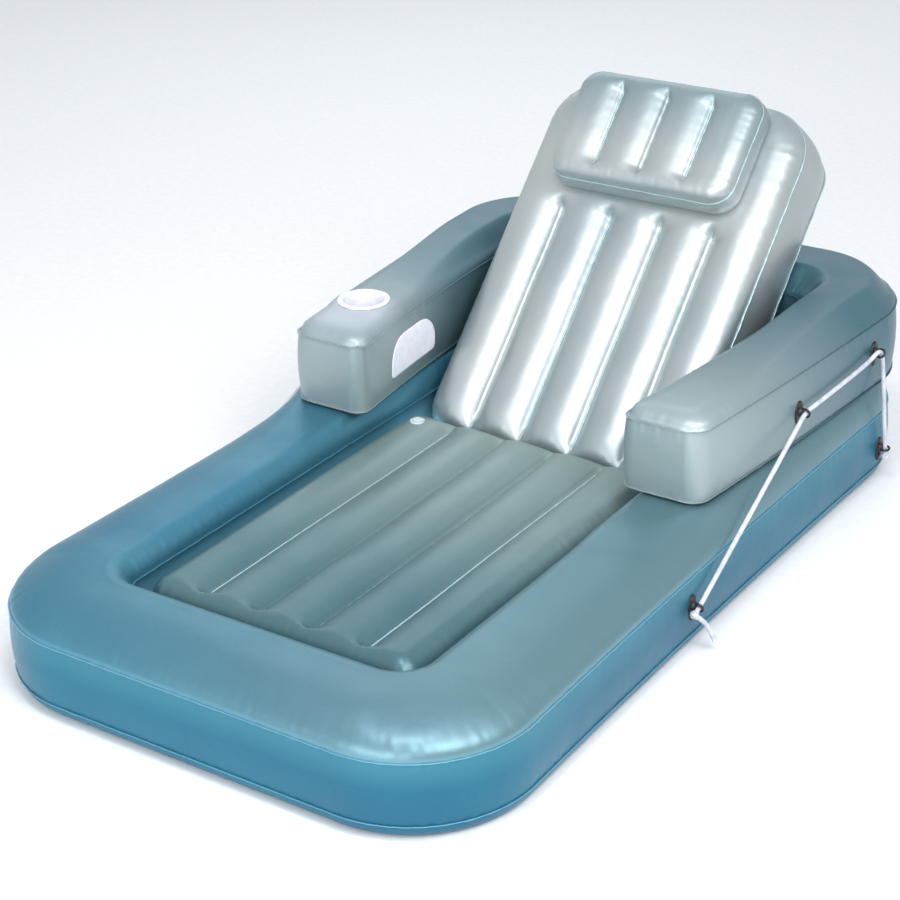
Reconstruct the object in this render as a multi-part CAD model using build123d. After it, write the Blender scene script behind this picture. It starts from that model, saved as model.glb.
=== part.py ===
from build123d import *
import math
import os

# Adjustable inflatable pool lounger.  Millimetres, X across, Y from foot to head, Z up.
# The origin is on the floor, at the centre of the base.

# ---- film -------------------------------------------------------------------------------
FILM = 2.0                     # film thickness used for every air chamber
JOIN_GAP = 0.3                 # air left between pieces that only lean on each other

# ---- base -------------------------------------------------------------------------------
BASE_HALF_WIDTH = 494.0        # where the long sides would meet the ends
BASE_WAIST = 14.0              # how far each long side is drawn in at its middle
BASE_HALF_LENGTH = 832.0
BASE_HEIGHT = 190.0
BASE_CORNER = 215.0
BASE_BOTTOM_ROUND = 28.0       # also the height of the bottom weld seam
BASE_TOP_ROUND = 53.0
BASE_TOP_SEAM_Z = BASE_HEIGHT - BASE_TOP_ROUND
BASE_SIDE_DEPTH = 40.0         # how far in from the outline the side band is split off

# ---- well in the base, for the seat and the foot of the backrest ------------------------
WELL_HALF_WIDTH = 288.0
WELL_FRONT_Y = -650.0
WELL_REAR_Y = 480.0
WELL_CORNER = 48.0
WELL_FLOOR_Z = 88.0
WELL_RIM_ROUND = 44.0
FLOOR_WEB_COUNT = 4
FLOOR_WEB_PITCH = 112.0

# ---- seat panel -------------------------------------------------------------------------
SEAT_TUBES = 5
SEAT_HALF_WIDTH = 272.0
SEAT_FRONT_Y = -628.0
SEAT_REAR_Y = 170.0
SEAT_BOTTOM_Z = WELL_FLOOR_Z
SEAT_SEAM_Z = 112.0
SEAT_GROOVE_Z = 125.0
SEAT_CREST_Z = 163.0
SEAT_END_ROUND = 55.0
SEAT_CORNER = 36.0

# ---- backrest ---------------------------------------------------------------------------
HINGE_Y = 200.0
HINGE_Z = 100.0
BACK_ANGLE = 45.0              # lean from level when it rests on the ring
BACK_TUBES = 5
BACK_HALF_WIDTH = 276.0
BACK_LENGTH = 785.0
BACK_THICKNESS = 138.0
BACK_CREST = 34.0
BACK_CORNER = 105.0
BACK_FOOT_CORNER = 60.0
BACK_SEAM_DEPTH = 8.0
BACK_TOP_FRONT_ROUND = 40.0    # rounding of the top end, on the sitter's side
BACK_TOP_REAR_ROUND = 52.0     # and on the back
BACK_FOOT_ROUND = 18.0
BACK_BEAD_RADIUS = 4.0
CUT_MARGIN = 4.0               # how far a cutting shape stands clear of the face it must not touch

# ---- arm ring (two arms joined by a bar behind the backrest) ----------------------------
RING_BOTTOM_Z = BASE_HEIGHT
RING_TOP_Z = 356.0
RING_TOP_ROUND = 24.0
RING_BOTTOM_ROUND = 10.0
RING_REAR_Y = 832.0
RING_FRONT_Y = 5.0
RING_OUTER = ((428.0, RING_FRONT_Y), (458.0, 300.0), (492.0, RING_REAR_Y))
# the backrest's flat back, at 45 degrees, leans on the bar's rounded top edge
RING_BAR_Y = (HINGE_Y - HINGE_Z + RING_TOP_Z - 2 * RING_TOP_ROUND
              + (BACK_THICKNESS + RING_TOP_ROUND + JOIN_GAP) * math.sqrt(2))
RING_INNER = ((264.0, RING_FRONT_Y), (298.0, 300.0), (312.0, RING_BAR_Y))
RING_OUTER_CORNER = 190.0
RING_INNER_CORNER = 34.0
RING_FRONT_CORNER = 30.0

# ---- pillow, on the front of the backrest -----------------------------------------------
PILLOW_TUBES = 4
PILLOW_HALF_WIDTH = 190.0
PILLOW_LOW = 530.0             # distances along the backrest from its hinge
PILLOW_HIGH = 765.0
PILLOW_GROOVE = 82.0           # height of its grooves over the backrest's seam
PILLOW_CREST = 104.0
PILLOW_CORNER = 42.0

# ---- cup holder in the left arm ---------------------------------------------------------
CUP_X = -371.0
CUP_Y = 163.0
CUP_RADIUS = 40.0
CUP_WALL = 2.0
CUP_RIM_RADIUS = 50.0
CUP_RIM_THICKNESS = 3.0
CUP_FLOOR_Z = 262.0

# ---- blank patch on the inner wall of the left arm --------------------------------------
PATCH_Y = (120.0, 288.0)
PATCH_Z = (228.0, 304.0)
PATCH_THICKNESS = 1.0

# ---- rope and its eyelets ---------------------------------------------------------------
ROPE_DIAMETER = 8.0
EYE_STAND = 12.5               # rope centre to the wall behind it
EYE_HOLE_RADIUS = 5.5
EYE_OUTER_RADIUS = 9.5
EYE_THICKNESS = 5.0
TAB_THICKNESS = 3.0
TAB_WIDTH = 28.0
TAB_HEIGHT = 50.0
KNOT_RADIUS = 8.5

# ---- valves -----------------------------------------------------------------------------
VALVE_FLANGE_RADIUS = 14.0
VALVE_FLANGE_THICKNESS = 1.6
VALVE_TUBE_RADIUS = 6.5
VALVE_BORE_RADIUS = 4.3
VALVE_DEPTH = 16.0
VALVE_RIM = 2.8                # height of the tube's mouth over the film
VALVE_CAP_RADIUS = 7.8
VALVE_CAP_THICKNESS = 2.2
VALVE_PLUG_DEPTH = 3.0
VALVE_HINGE_X = 12.0
VALVE_HINGE_Z = 3.4
VALVE_BARREL_RADIUS = 1.2


# ---- small helpers ----------------------------------------------------------------------
def place(x, y, z, rx=0.0, ry=0.0, rz=0.0):
    """A location at a point, turned about X, Y and Z."""
    return Location((x, y, z), (rx, ry, rz))


def wall_x(points, y):
    """X of the circular arc through three (x, y) points, at a given y."""
    (x1, y1), (x2, y2), (x3, y3) = points
    a = x1 * (y2 - y3) - y1 * (x2 - x3) + x2 * y3 - x3 * y2
    s1, s2, s3 = x1 * x1 + y1 * y1, x2 * x2 + y2 * y2, x3 * x3 + y3 * y3
    b = s1 * (y3 - y2) + s2 * (y1 - y3) + s3 * (y2 - y1)
    c = s1 * (x2 - x3) + s2 * (x3 - x1) + s3 * (x1 - x2)
    centre_x, centre_y = -b / (2 * a), -c / (2 * a)
    radius = math.hypot(x1 - centre_x, y1 - centre_y)
    side = 1 if x2 > centre_x else -1
    return centre_x + side * math.sqrt(radius ** 2 - (y - centre_y) ** 2)


def mirrored(points):
    """The same (x, y) points on the other side of the centre line."""
    return [(-x, y) for x, y in points]


def round_corners(face, rules):
    """Round a flat face's corners: rules is a list of (test on a vertex, radius)."""
    for test, radius in rules:
        corners = [v for v in face.vertices() if test(v)]
        face = fillet(corners, radius)
    return face


def slab(face, low, high):
    """A flat face raised into a solid between two heights."""
    return Pos(0, 0, low) * extrude(face, amount=high - low)


def edges_at(solid, z):
    """The edges of a solid that lie at one height."""
    return [e for e in solid.edges() if abs(e.center().Z - z) < 0.01 and abs(e.bounding_box().size.Z) < 0.01]


def box_between(low, high):
    """A box from its lowest to its highest corner."""
    size = [b - a for a, b in zip(low, high)]
    middle = [(a + b) / 2 for a, b in zip(low, high)]
    return Pos(*middle) * Box(*size)


# ---- chambers ---------------------------------------------------------------------------
def cushion(face, low, high, bottom_round, top_round, inset=0.0):
    """A closed chamber over a flat outline with rounded top and bottom edges."""
    if inset:
        face = offset(face, amount=-inset)
    body = slab(face, low + inset, high - inset)
    body = fillet(edges_at(body, high - inset), top_round - inset)
    return fillet(edges_at(body, low + inset), bottom_round - inset)


def quilted(half_width, tubes, low_y, high_y, bottom_z, groove_z, crest_z, corner, foot_corner,
            end_round, inset=0.0):
    """A chamber whose top is a row of tubes side by side, cut to a rounded outline."""
    pitch = 2 * half_width / tubes
    rise = crest_z - groove_z
    radius = (pitch ** 2 / 4 + rise ** 2) / (2 * rise)
    centre_z = crest_z - radius
    inner = radius - inset
    edge_z = centre_z + math.sqrt(inner ** 2 - pitch ** 2 / 4)
    top = []
    for number in range(tubes):
        left = -half_width + number * pitch
        start = (left, edge_z)
        middle = (left + pitch / 2, centre_z + inner)
        top.append(ThreePointArc(start, middle, (left + pitch, edge_z)))
    floor = bottom_z + inset
    rest = Polyline((half_width, edge_z), (half_width, floor), (-half_width, floor), (-half_width, edge_z))
    section = Plane.XZ * make_face(top + [rest])
    length = high_y - low_y
    tubes_solid = Pos(0, low_y, 0) * extrude(section, amount=-length)
    outline = Pos(0, (low_y + high_y) / 2) * Rectangle(2 * half_width, length)
    middle_y = (low_y + high_y) / 2
    outline = round_corners(outline, [(lambda v: v.Y > middle_y, corner), (lambda v: v.Y < middle_y, foot_corner)])
    if inset:
        outline = offset(outline, amount=-inset)
    dome = slab(outline, bottom_z + inset, crest_z + 1)
    if end_round:
        top_edges = [e for e in edges_at(dome, crest_z + 1) if e.length < 2.2 * half_width]
        dome = fillet(top_edges, end_round - inset)
    return tubes_solid & dome


def hollow(outer, inner):
    """The film between a chamber's outside and its air."""
    film = outer - inner
    print("film is", round(film.volume / outer.volume, 3), "of the chamber")
    return film


def split_level(film, levels, reach=2000.0):
    """Cut a film into horizontal panels at the given heights, lowest first."""
    panels = []
    bounds = [-reach] + list(levels) + [reach]
    for low, high in zip(bounds, bounds[1:]):
        panels.append(film & box_between((-reach, -reach, low), (reach, reach, high)))
    return panels


def webs(count, pitch, low_y, high_y, low_z, high_z):
    """Upright strips of film along Y, evenly spaced about the middle."""
    strips = []
    for number in range(count):
        x = (number - (count - 1) / 2) * pitch
        strips.append(box_between((x - FILM / 2, low_y, low_z), (x + FILM / 2, high_y, high_z)))
    return Compound(children=strips)


def groove_edge(half_width, tubes, groove_z, crest_z):
    """Height of the inside of a groove, where a web meets the film."""
    pitch = 2 * half_width / tubes
    rise = crest_z - groove_z
    radius = (pitch ** 2 / 4 + rise ** 2) / (2 * rise)
    return crest_z - radius + math.sqrt((radius - FILM) ** 2 - pitch ** 2 / 4)


# ---- base -------------------------------------------------------------------------------
def base_outline():
    side = [(BASE_HALF_WIDTH, -BASE_HALF_LENGTH), (BASE_HALF_WIDTH - BASE_WAIST, 0),
            (BASE_HALF_WIDTH, BASE_HALF_LENGTH)]
    far = mirrored(side)
    lines = [ThreePointArc(*side), Line(side[2], far[2]), ThreePointArc(*far[::-1]), Line(far[0], side[0])]
    return round_corners(make_face(lines), [(lambda v: True, BASE_CORNER)])


def base_side_x(y):
    side = [(BASE_HALF_WIDTH, -BASE_HALF_LENGTH), (BASE_HALF_WIDTH - BASE_WAIST, 0),
            (BASE_HALF_WIDTH, BASE_HALF_LENGTH)]
    return wall_x(side, y)


def well_outline():
    middle = (WELL_FRONT_Y + WELL_REAR_Y) / 2
    outline = Pos(0, middle) * Rectangle(2 * WELL_HALF_WIDTH, WELL_REAR_Y - WELL_FRONT_Y)
    return round_corners(outline, [(lambda v: True, WELL_CORNER)])


def base_chamber(inset=0.0):
    body = cushion(base_outline(), 0, BASE_HEIGHT, BASE_BOTTOM_ROUND, BASE_TOP_ROUND, inset)
    well = well_outline()
    if inset:
        well = offset(well, amount=inset)
    body = body - slab(well, WELL_FLOOR_Z - inset, BASE_HEIGHT + 1)
    rim = [e for e in edges_at(body, BASE_HEIGHT - inset)
           if abs(e.center().X) < WELL_HALF_WIDTH + 10 and WELL_FRONT_Y - 10 < e.center().Y < WELL_REAR_Y + 10]
    return fillet(rim, WELL_RIM_ROUND - inset)


def build_base():
    film = hollow(base_chamber(), base_chamber(FILM))
    edge_ring = slab(base_outline(), BASE_BOTTOM_ROUND, BASE_TOP_SEAM_Z)
    edge_ring = edge_ring - slab(offset(base_outline(), amount=-BASE_SIDE_DEPTH), 0, BASE_HEIGHT)
    side_band = film & edge_ring
    bottom, rest = split_level(film, [BASE_BOTTOM_ROUND])
    floor_webs = webs(FLOOR_WEB_COUNT, FLOOR_WEB_PITCH, WELL_FRONT_Y + 60, WELL_REAR_Y - 60,
                      FILM, WELL_FLOOR_Z - FILM)
    return {"base_top_sheet": rest - edge_ring, "base_side_band": side_band,
            "base_bottom_sheet": bottom, "base_floor_webs": floor_webs}


# ---- seat -------------------------------------------------------------------------------
def seat_chamber(inset=0.0):
    return quilted(SEAT_HALF_WIDTH, SEAT_TUBES, SEAT_FRONT_Y, SEAT_REAR_Y, SEAT_BOTTOM_Z,
                   SEAT_GROOVE_Z, SEAT_CREST_Z, SEAT_CORNER, SEAT_CORNER, SEAT_END_ROUND, inset)


def build_seat():
    film = hollow(seat_chamber(), seat_chamber(FILM))
    bottom, top = split_level(film, [SEAT_SEAM_Z])
    pitch = 2 * SEAT_HALF_WIDTH / SEAT_TUBES
    web_top = groove_edge(SEAT_HALF_WIDTH, SEAT_TUBES, SEAT_GROOVE_Z, SEAT_CREST_Z)
    strips = webs(SEAT_TUBES - 1, pitch, SEAT_FRONT_Y + SEAT_END_ROUND, SEAT_REAR_Y - SEAT_END_ROUND,
                  SEAT_BOTTOM_Z + FILM, web_top)
    return {"seat_top_sheet": top, "seat_bottom_sheet": bottom, "seat_webs": strips}


# ---- arm ring ---------------------------------------------------------------------------
def ring_outline():
    outer, inner = list(RING_OUTER), list(RING_INNER)
    far_outer, far_inner = mirrored(outer), mirrored(inner)
    lines = [ThreePointArc(*outer), Line(outer[2], far_outer[2]), ThreePointArc(*far_outer[::-1]),
             Line(far_outer[0], far_inner[0]), ThreePointArc(*far_inner),
             Line(far_inner[2], inner[2]), ThreePointArc(*inner[::-1]), Line(inner[0], outer[0])]
    rules = [(lambda v: v.Y > RING_REAR_Y - 1, RING_OUTER_CORNER),
             (lambda v: abs(v.Y - inner[2][1]) < 1 and abs(v.X) < 400, RING_INNER_CORNER),
             (lambda v: v.Y < RING_FRONT_Y + 1, RING_FRONT_CORNER)]
    return round_corners(make_face(lines), rules)


def ring_chamber(inset=0.0):
    return cushion(ring_outline(), RING_BOTTOM_Z, RING_TOP_Z, RING_BOTTOM_ROUND, RING_TOP_ROUND, inset)


def build_ring():
    film = hollow(ring_chamber(), ring_chamber(FILM))
    levels = [RING_BOTTOM_Z + RING_BOTTOM_ROUND, RING_TOP_Z - RING_TOP_ROUND]
    bottom, side, top = split_level(film, levels)
    top = top - Pos(CUP_X, CUP_Y, RING_TOP_Z) * Cylinder(CUP_RADIUS + CUP_WALL, 20)
    return {"arm_ring_top_sheet": top, "arm_ring_side_band": side, "arm_ring_bottom_sheet": bottom}


# ---- backrest and pillow, drawn lying level with the hinge on the X axis ----------------
def back_place():
    return place(0, HINGE_Y, HINGE_Z, rx=BACK_ANGLE)


def back_chamber(inset=0.0):
    body = quilted(BACK_HALF_WIDTH, BACK_TUBES, 0, BACK_LENGTH + 1, -BACK_THICKNESS - CUT_MARGIN, 0,
                   BACK_CREST, BACK_CORNER, BACK_FOOT_CORNER, 0, inset)
    return body & back_side_profile(inset)


def back_side_profile(inset):
    """Side view: a foot that is level when the backrest leans, rounded front and top edges."""
    depth = BACK_THICKNESS - inset
    slant = inset * math.sqrt(2)
    tip = 3.0
    front = BACK_CREST + CUT_MARGIN - inset
    points = [(tip + slant, -tip), (depth + slant, -depth), (BACK_LENGTH - inset, -depth),
              (BACK_LENGTH - inset, front), (front + 26 + 2 * inset, front), (tip + slant, 0)]
    face = make_face(Polyline(*points, close=True))
    face = round_corners(face, [(lambda v: v.X > BACK_LENGTH - 30 and v.Y > 0, BACK_TOP_FRONT_ROUND - inset),
                                (lambda v: v.X > BACK_LENGTH - 30 and v.Y < -depth / 2, BACK_TOP_REAR_ROUND - inset),
                                (lambda v: 50 < v.X < 200 and v.Y < -depth / 2, BACK_FOOT_ROUND - inset)])
    upright = Plane.YZ * face
    width = BACK_HALF_WIDTH + 10
    return Pos(-width, 0, 0) * extrude(upright, amount=2 * width)


def build_back():
    film = hollow(back_chamber(), back_chamber(FILM))
    back, side, front = split_level(film, [-BACK_THICKNESS + BACK_SEAM_DEPTH, -BACK_SEAM_DEPTH])
    bead = place(0, 0, 0, ry=90) * Cylinder(BACK_BEAD_RADIUS, 2 * (BACK_HALF_WIDTH - BACK_FOOT_CORNER))
    front = front + bead
    pitch = 2 * BACK_HALF_WIDTH / BACK_TUBES
    web_top = groove_edge(BACK_HALF_WIDTH, BACK_TUBES, 0, BACK_CREST)
    strips = webs(BACK_TUBES - 1, pitch, BACK_THICKNESS + 20, BACK_LENGTH - 60,
                  -BACK_THICKNESS + FILM, web_top)
    parts = {"backrest_front_sheet": front, "backrest_side_band": side,
             "backrest_back_sheet": back, "backrest_webs": strips}
    return {node: back_place() * shape for node, shape in parts.items()}


def pillow_chamber(inset=0.0):
    return quilted(PILLOW_HALF_WIDTH, PILLOW_TUBES, PILLOW_LOW, PILLOW_HIGH, BACK_CREST,
                   PILLOW_GROOVE, PILLOW_CREST, PILLOW_CORNER, PILLOW_CORNER, 18, inset)


def build_pillow():
    film = hollow(pillow_chamber(), pillow_chamber(FILM))
    back, side, front = split_level(film, [BACK_CREST + FILM, PILLOW_GROOVE - 6])
    pitch = 2 * PILLOW_HALF_WIDTH / PILLOW_TUBES
    web_top = groove_edge(PILLOW_HALF_WIDTH, PILLOW_TUBES, PILLOW_GROOVE, PILLOW_CREST)
    strips = webs(PILLOW_TUBES - 1, pitch, PILLOW_LOW + 30, PILLOW_HIGH - 30, BACK_CREST + FILM, web_top)
    parts = {"pillow_front_sheet": front, "pillow_side_band": side,
             "pillow_back_sheet": back, "pillow_webs": strips}
    return {node: back_place() * shape for node, shape in parts.items()}


def build_hinge_strip():
    low = (-BACK_HALF_WIDTH + BACK_FOOT_CORNER, SEAT_REAR_Y, HINGE_Z - FILM / 2)
    high = (BACK_HALF_WIDTH - BACK_FOOT_CORNER, HINGE_Y - BACK_BEAD_RADIUS - JOIN_GAP, HINGE_Z + FILM / 2)
    return {"hinge_strip": box_between(low, high)}


# ---- cup holder and patch ---------------------------------------------------------------
def build_cup_holder():
    wall = CUP_RADIUS + CUP_WALL
    rim_top = RING_TOP_Z + CUP_RIM_THICKNESS
    floor = CUP_FLOOR_Z - CUP_WALL
    outline = Polyline((0, floor), (wall, floor), (wall, RING_TOP_Z), (CUP_RIM_RADIUS, RING_TOP_Z),
                       (CUP_RIM_RADIUS, rim_top), (CUP_RADIUS, rim_top), (CUP_RADIUS, CUP_FLOOR_Z),
                       (0, CUP_FLOOR_Z), close=True)
    cup = revolve(Plane.XZ * make_face(outline), axis=Axis.Z)
    return {"cup_holder": Pos(CUP_X, CUP_Y, 0) * cup}


def build_patch():
    low_y, high_y = PATCH_Y
    low_z, high_z = PATCH_Z
    face = Pos((low_y + high_y) / 2, (low_z + high_z) / 2) * Rectangle(high_y - low_y, high_z - low_z)
    face = round_corners(face, [(lambda v: v.Y > low_z + 1, 52.0), (lambda v: v.Y < low_z + 1, 10.0)])
    block = Pos(-400, 0, 0) * extrude(Plane.YZ * face, amount=200)
    raised = cushion(offset(ring_outline(), amount=PATCH_THICKNESS), RING_BOTTOM_Z - PATCH_THICKNESS,
                     RING_TOP_Z + PATCH_THICKNESS, RING_BOTTOM_ROUND + PATCH_THICKNESS,
                     RING_TOP_ROUND + PATCH_THICKNESS)
    return {"arm_patch": (raised - ring_chamber()) & block}


# ---- rope and eyelets -------------------------------------------------------------------
def ring_side_x(y):
    return wall_x(RING_OUTER, y)


# name, y, z, wall, and the tilt of the rope through the eye, in degrees from level
EYELETS = [
    ("foot", -114.0, 88.0, base_side_x, 22.0),
    ("arm_front", 314.0, 263.0, ring_side_x, 13.0),
    ("arm_rear", 588.0, 279.0, ring_side_x, -39.0),
    ("head", 622.0, 72.0, base_side_x, -81.0),
]


def eye_centre(y, z, wall):
    return (wall(y) + EYE_STAND, y, z)


def eyelet(y, z, wall, tilt):
    """A moulded tab welded to the wall, with an eye that the rope runs through."""
    x = wall(y)
    tab = Plane.YZ * Ellipse(TAB_WIDTH / 2, TAB_HEIGHT / 2)
    tab = Pos(x - 3, y, z) * extrude(tab, amount=3 + TAB_THICKNESS)
    reach = EYE_STAND - TAB_THICKNESS
    ring = Cylinder(EYE_OUTER_RADIUS, EYE_THICKNESS)
    neck = Pos(-reach / 2, 0, 0) * Box(reach, 2 * EYE_OUTER_RADIUS, EYE_THICKNESS)
    eye = (ring + neck) - Cylinder(EYE_HOLE_RADIUS, 2 * EYE_THICKNESS)
    eye = place(x + EYE_STAND, y, z, rx=tilt - 90) * eye
    return tab + eye


def build_eyelets(right_walls):
    parts = {}
    for name, y, z, wall, tilt in EYELETS:
        piece = eyelet(y, z, wall, tilt) - right_walls[wall is ring_side_x]
        parts["eyelet_right_" + name] = piece
        parts["eyelet_left_" + name] = mirror(piece, about=Plane.YZ)
    return parts


def rope_points():
    """The right-hand rope, from its free tail to the knot at the head end."""
    foot, front, rear, head = [Vector(*eye_centre(y, z, wall)) for _, y, z, wall, _ in EYELETS]
    start = (front - foot).normalized()
    knot = foot - start * 17
    tail = [knot + Vector(20, 38, -64), knot + Vector(10, 30, -34), knot]
    bend_in = rear + Vector(0, -7, 7)
    bend_out = rear + Vector(0, 7, -7)
    end = head + (head - bend_out).normalized() * 16
    return tail + [front, bend_in, bend_out, end]


def build_ropes():
    points = rope_points()
    radii = [45.0, 8.0, 40.0, 9.0, 9.0]
    path = FilletPolyline(*points, radius=radii)
    start = Plane(origin=path @ 0, z_dir=path % 0)
    rope = sweep(start * Circle(ROPE_DIAMETER / 2), path=path)
    print("rope length", round(path.length, 1), "arc radii", radii,
          "volume ratio", round(rope.volume / (math.pi * ROPE_DIAMETER ** 2 / 4 * path.length), 4))
    for centre in (points[2], points[-1]):
        rope = rope + Pos(*centre) * Sphere(KNOT_RADIUS)
    return {"rope_right": rope, "rope_left": mirror(rope, about=Plane.YZ)}


# ---- valves -----------------------------------------------------------------------------
# name and the place of each valve: its film's outer face is the XY plane, outwards is +Z
VALVES = {
    "base": place(-base_side_x(-420), -420, 84, ry=-90),
    "seat": place(-SEAT_HALF_WIDTH + SEAT_HALF_WIDTH / SEAT_TUBES, SEAT_REAR_Y - 62, SEAT_CREST_Z),
    "arm_ring": place(-ring_side_x(440), 440, 236, ry=-90),
    "backrest": back_place() * place(150, 640, -BACK_THICKNESS, rx=180),
    "pillow": back_place() * place(-PILLOW_HALF_WIDTH, 650, 58, ry=-90, rz=0),
}
VALVE_FILMS = {"base": "base_side_band", "seat": "seat_top_sheet", "arm_ring": "arm_ring_side_band",
               "backrest": "backrest_back_sheet", "pillow": "pillow_side_band"}


def valve_stem():
    flange = Pos(0, 0, VALVE_FLANGE_THICKNESS / 2) * Cylinder(VALVE_FLANGE_RADIUS, VALVE_FLANGE_THICKNESS)
    height = VALVE_RIM + VALVE_DEPTH
    tube = Pos(0, 0, VALVE_RIM - height / 2) * Cylinder(VALVE_TUBE_RADIUS, height)
    ears = []
    for side in (-1, 1):
        ear = Pos(VALVE_HINGE_X, side * 3.8, VALVE_HINGE_Z / 2 + 0.6) * Box(2.6, 1.4, VALVE_HINGE_Z + 1.2)
        ears.append(ear - Pos(0, 0, -2) * Box(60, 60, 4))
    stem = flange + tube + ears
    return stem - Pos(0, 0, VALVE_RIM - height / 2) * Cylinder(VALVE_BORE_RADIUS, height + 2)


def valve_flap():
    return Pos(0, 0, -VALVE_DEPTH - 0.4) * Cylinder(VALVE_TUBE_RADIUS - 0.4, 0.8)


def valve_cap():
    low = VALVE_RIM + 0.2
    disc = Pos(0, 0, low + VALVE_CAP_THICKNESS / 2) * Cylinder(VALVE_CAP_RADIUS, VALVE_CAP_THICKNESS)
    plug = Pos(0, 0, low - VALVE_PLUG_DEPTH / 2) * Rot(180, 0, 0) * Cone(3.9, 3.3, VALVE_PLUG_DEPTH)
    strap = Pos(VALVE_HINGE_X / 2 + 3, 0, VALVE_HINGE_Z + 0.2) * Box(VALVE_HINGE_X - 6, 4.6, 1.4)
    barrel = place(VALVE_HINGE_X, 0, VALVE_HINGE_Z, rx=90) * Cylinder(VALVE_BARREL_RADIUS, 5.6)
    return disc + plug + strap + barrel


def build_valves(films):
    """The valves, each with its flange trimmed to the film that it is welded to."""
    parts = {}
    for name, spot in VALVES.items():
        parts[name + "_valve_stem"] = spot * valve_stem() - films[VALVE_FILMS[name]]
        parts[name + "_valve_flap"] = spot * valve_flap()
        parts[name + "_valve_cap"] = spot * valve_cap()
    return parts


def cut_valve_holes(parts):
    for name, film in VALVE_FILMS.items():
        parts[film] = parts[film] - VALVES[name] * Cylinder(VALVE_TUBE_RADIUS, 12)


# ---- everything -------------------------------------------------------------------------
def build_all():
    parts = {}
    parts.update(build_base())
    parts.update(build_seat())
    parts.update(build_ring())
    parts.update(build_back())
    parts.update(build_pillow())
    cut_valve_holes(parts)
    parts.update(build_hinge_strip())
    parts.update(build_cup_holder())
    parts.update(build_patch())
    parts.update(build_eyelets({False: base_chamber(), True: ring_chamber()}))
    parts.update(build_ropes())
    parts.update(build_valves(parts))
    return parts


def main():
    os.makedirs("parts", exist_ok=True)
    for node, shape in build_all().items():
        export_step(shape, "parts/" + node + ".step")


main()
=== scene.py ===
import math

import bmesh
import bpy
import numpy as np
from mathutils import Matrix, Vector


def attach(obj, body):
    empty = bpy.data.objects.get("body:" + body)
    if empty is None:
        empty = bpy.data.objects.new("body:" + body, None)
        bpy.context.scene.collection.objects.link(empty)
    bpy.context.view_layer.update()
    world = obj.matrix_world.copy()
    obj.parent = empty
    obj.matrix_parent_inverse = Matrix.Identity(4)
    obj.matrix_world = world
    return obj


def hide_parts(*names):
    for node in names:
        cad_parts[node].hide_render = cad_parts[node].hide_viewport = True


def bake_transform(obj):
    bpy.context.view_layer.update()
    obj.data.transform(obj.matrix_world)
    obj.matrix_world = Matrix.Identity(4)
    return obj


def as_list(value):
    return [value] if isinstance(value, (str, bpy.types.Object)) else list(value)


# An adjustable inflatable pool lounger.  Lengths in the tables and functions are millimetres;
# new_piece turns them into metres.  X is across, Y from foot to head, Z up, as in the frame.

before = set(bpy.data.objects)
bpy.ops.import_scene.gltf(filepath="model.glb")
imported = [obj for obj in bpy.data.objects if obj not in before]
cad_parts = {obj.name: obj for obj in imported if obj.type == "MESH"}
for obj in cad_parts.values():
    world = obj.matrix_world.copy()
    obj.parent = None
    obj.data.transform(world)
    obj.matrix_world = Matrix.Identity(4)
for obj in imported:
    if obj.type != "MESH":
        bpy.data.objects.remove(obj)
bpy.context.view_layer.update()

MM = 0.001
STEP = 4.5                       # usual distance between points on a film
EDGE_STEPS = 12                  # rows of points in the rounded edge of a panel
SEAM_TUCK = 0.6                  # how far inside its seam a weld lip begins
PULL = 5.0                       # how far the air pulls each weld seam in from the widest point

# base
SIDE_X, SIDE_WAIST, END_Y, BASE_CORNER = 494.0, 14.0, 832.0, 215.0
BASE_TOP, BASE_TOP_SEAM, BASE_BOTTOM_SEAM = 190.0, 137.0, 28.0
WELL_X, WELL_FRONT, WELL_REAR, WELL_CORNER = 288.0, -650.0, 480.0, 48.0
WELL_FLOOR, WELL_LEDGE, WELL_RIM = 88.0, 108.0, 150.0
LEDGE_INSET = 9.0                # how far the well's wall leans in above the seat's weld
# seat
SEAT_X, SEAT_FRONT, SEAT_REAR, SEAT_SEAM, SEAT_CREST = 272.0, -628.0, 170.0, 112.0, 163.0
SEAT_RISE, SEAT_TUBES = 27.0, 5
# arm ring
RING_BOTTOM, RING_TOP, RING_LOW_SEAM, RING_TOP_SEAM = 196.0, 356.0, 203.0, 332.0
RING_REAR, RING_BAR, RING_FRONT = 832.0, 637.5, 5.0
RING_OUT_X = ((5.0, 428.0), (300.0, 458.0), (832.0, 492.0))
RING_IN_X = ((5.0, 264.0), (300.0, 298.0), (637.5, 312.0))
RING_OUT_CORNER, RING_IN_CORNER, REAR_RISE = 190.0, 34.0, 25.0
# backrest and pillow, in the backrest's own frame: x across, s along it from the hinge, z out of its front
HINGE_Y, HINGE_Z, LEAN = 200.0, 100.0, math.radians(45)
HINGE_FILM = 0.8                 # thickness of the film that joins the seat to the backrest
BACK_X, BACK_LENGTH, BACK_DEPTH, BACK_CREST, BACK_TUBES = 276.0, 785.0, 138.0, 34.0, 5
GROOVE_END = 512.0
PILLOW_X, PILLOW_LOW, PILLOW_HIGH, PILLOW_CREST, PILLOW_TUBES = 190.0, 530.0, 765.0, 104.0, 4
PILLOW_SHIFT = 6.0               # the pillow is welded on a little to the right
# cup holder
CUP_X, CUP_Y, CUP_BORE, CUP_RIM, CUP_FLOOR = -371.0, 163.0, 40.0, 50.0, 260.0


# ---- numbers ------------------------------------------------------------------------------
def smooth(value, low, high):
    """0 below low, 1 above high, and a smooth step between them."""
    t = np.clip((value - low) / (high - low), 0, 1)
    return t * t * (3 - 2 * t)


def mix(a, b, share):
    return a + (b - a) * share


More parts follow.
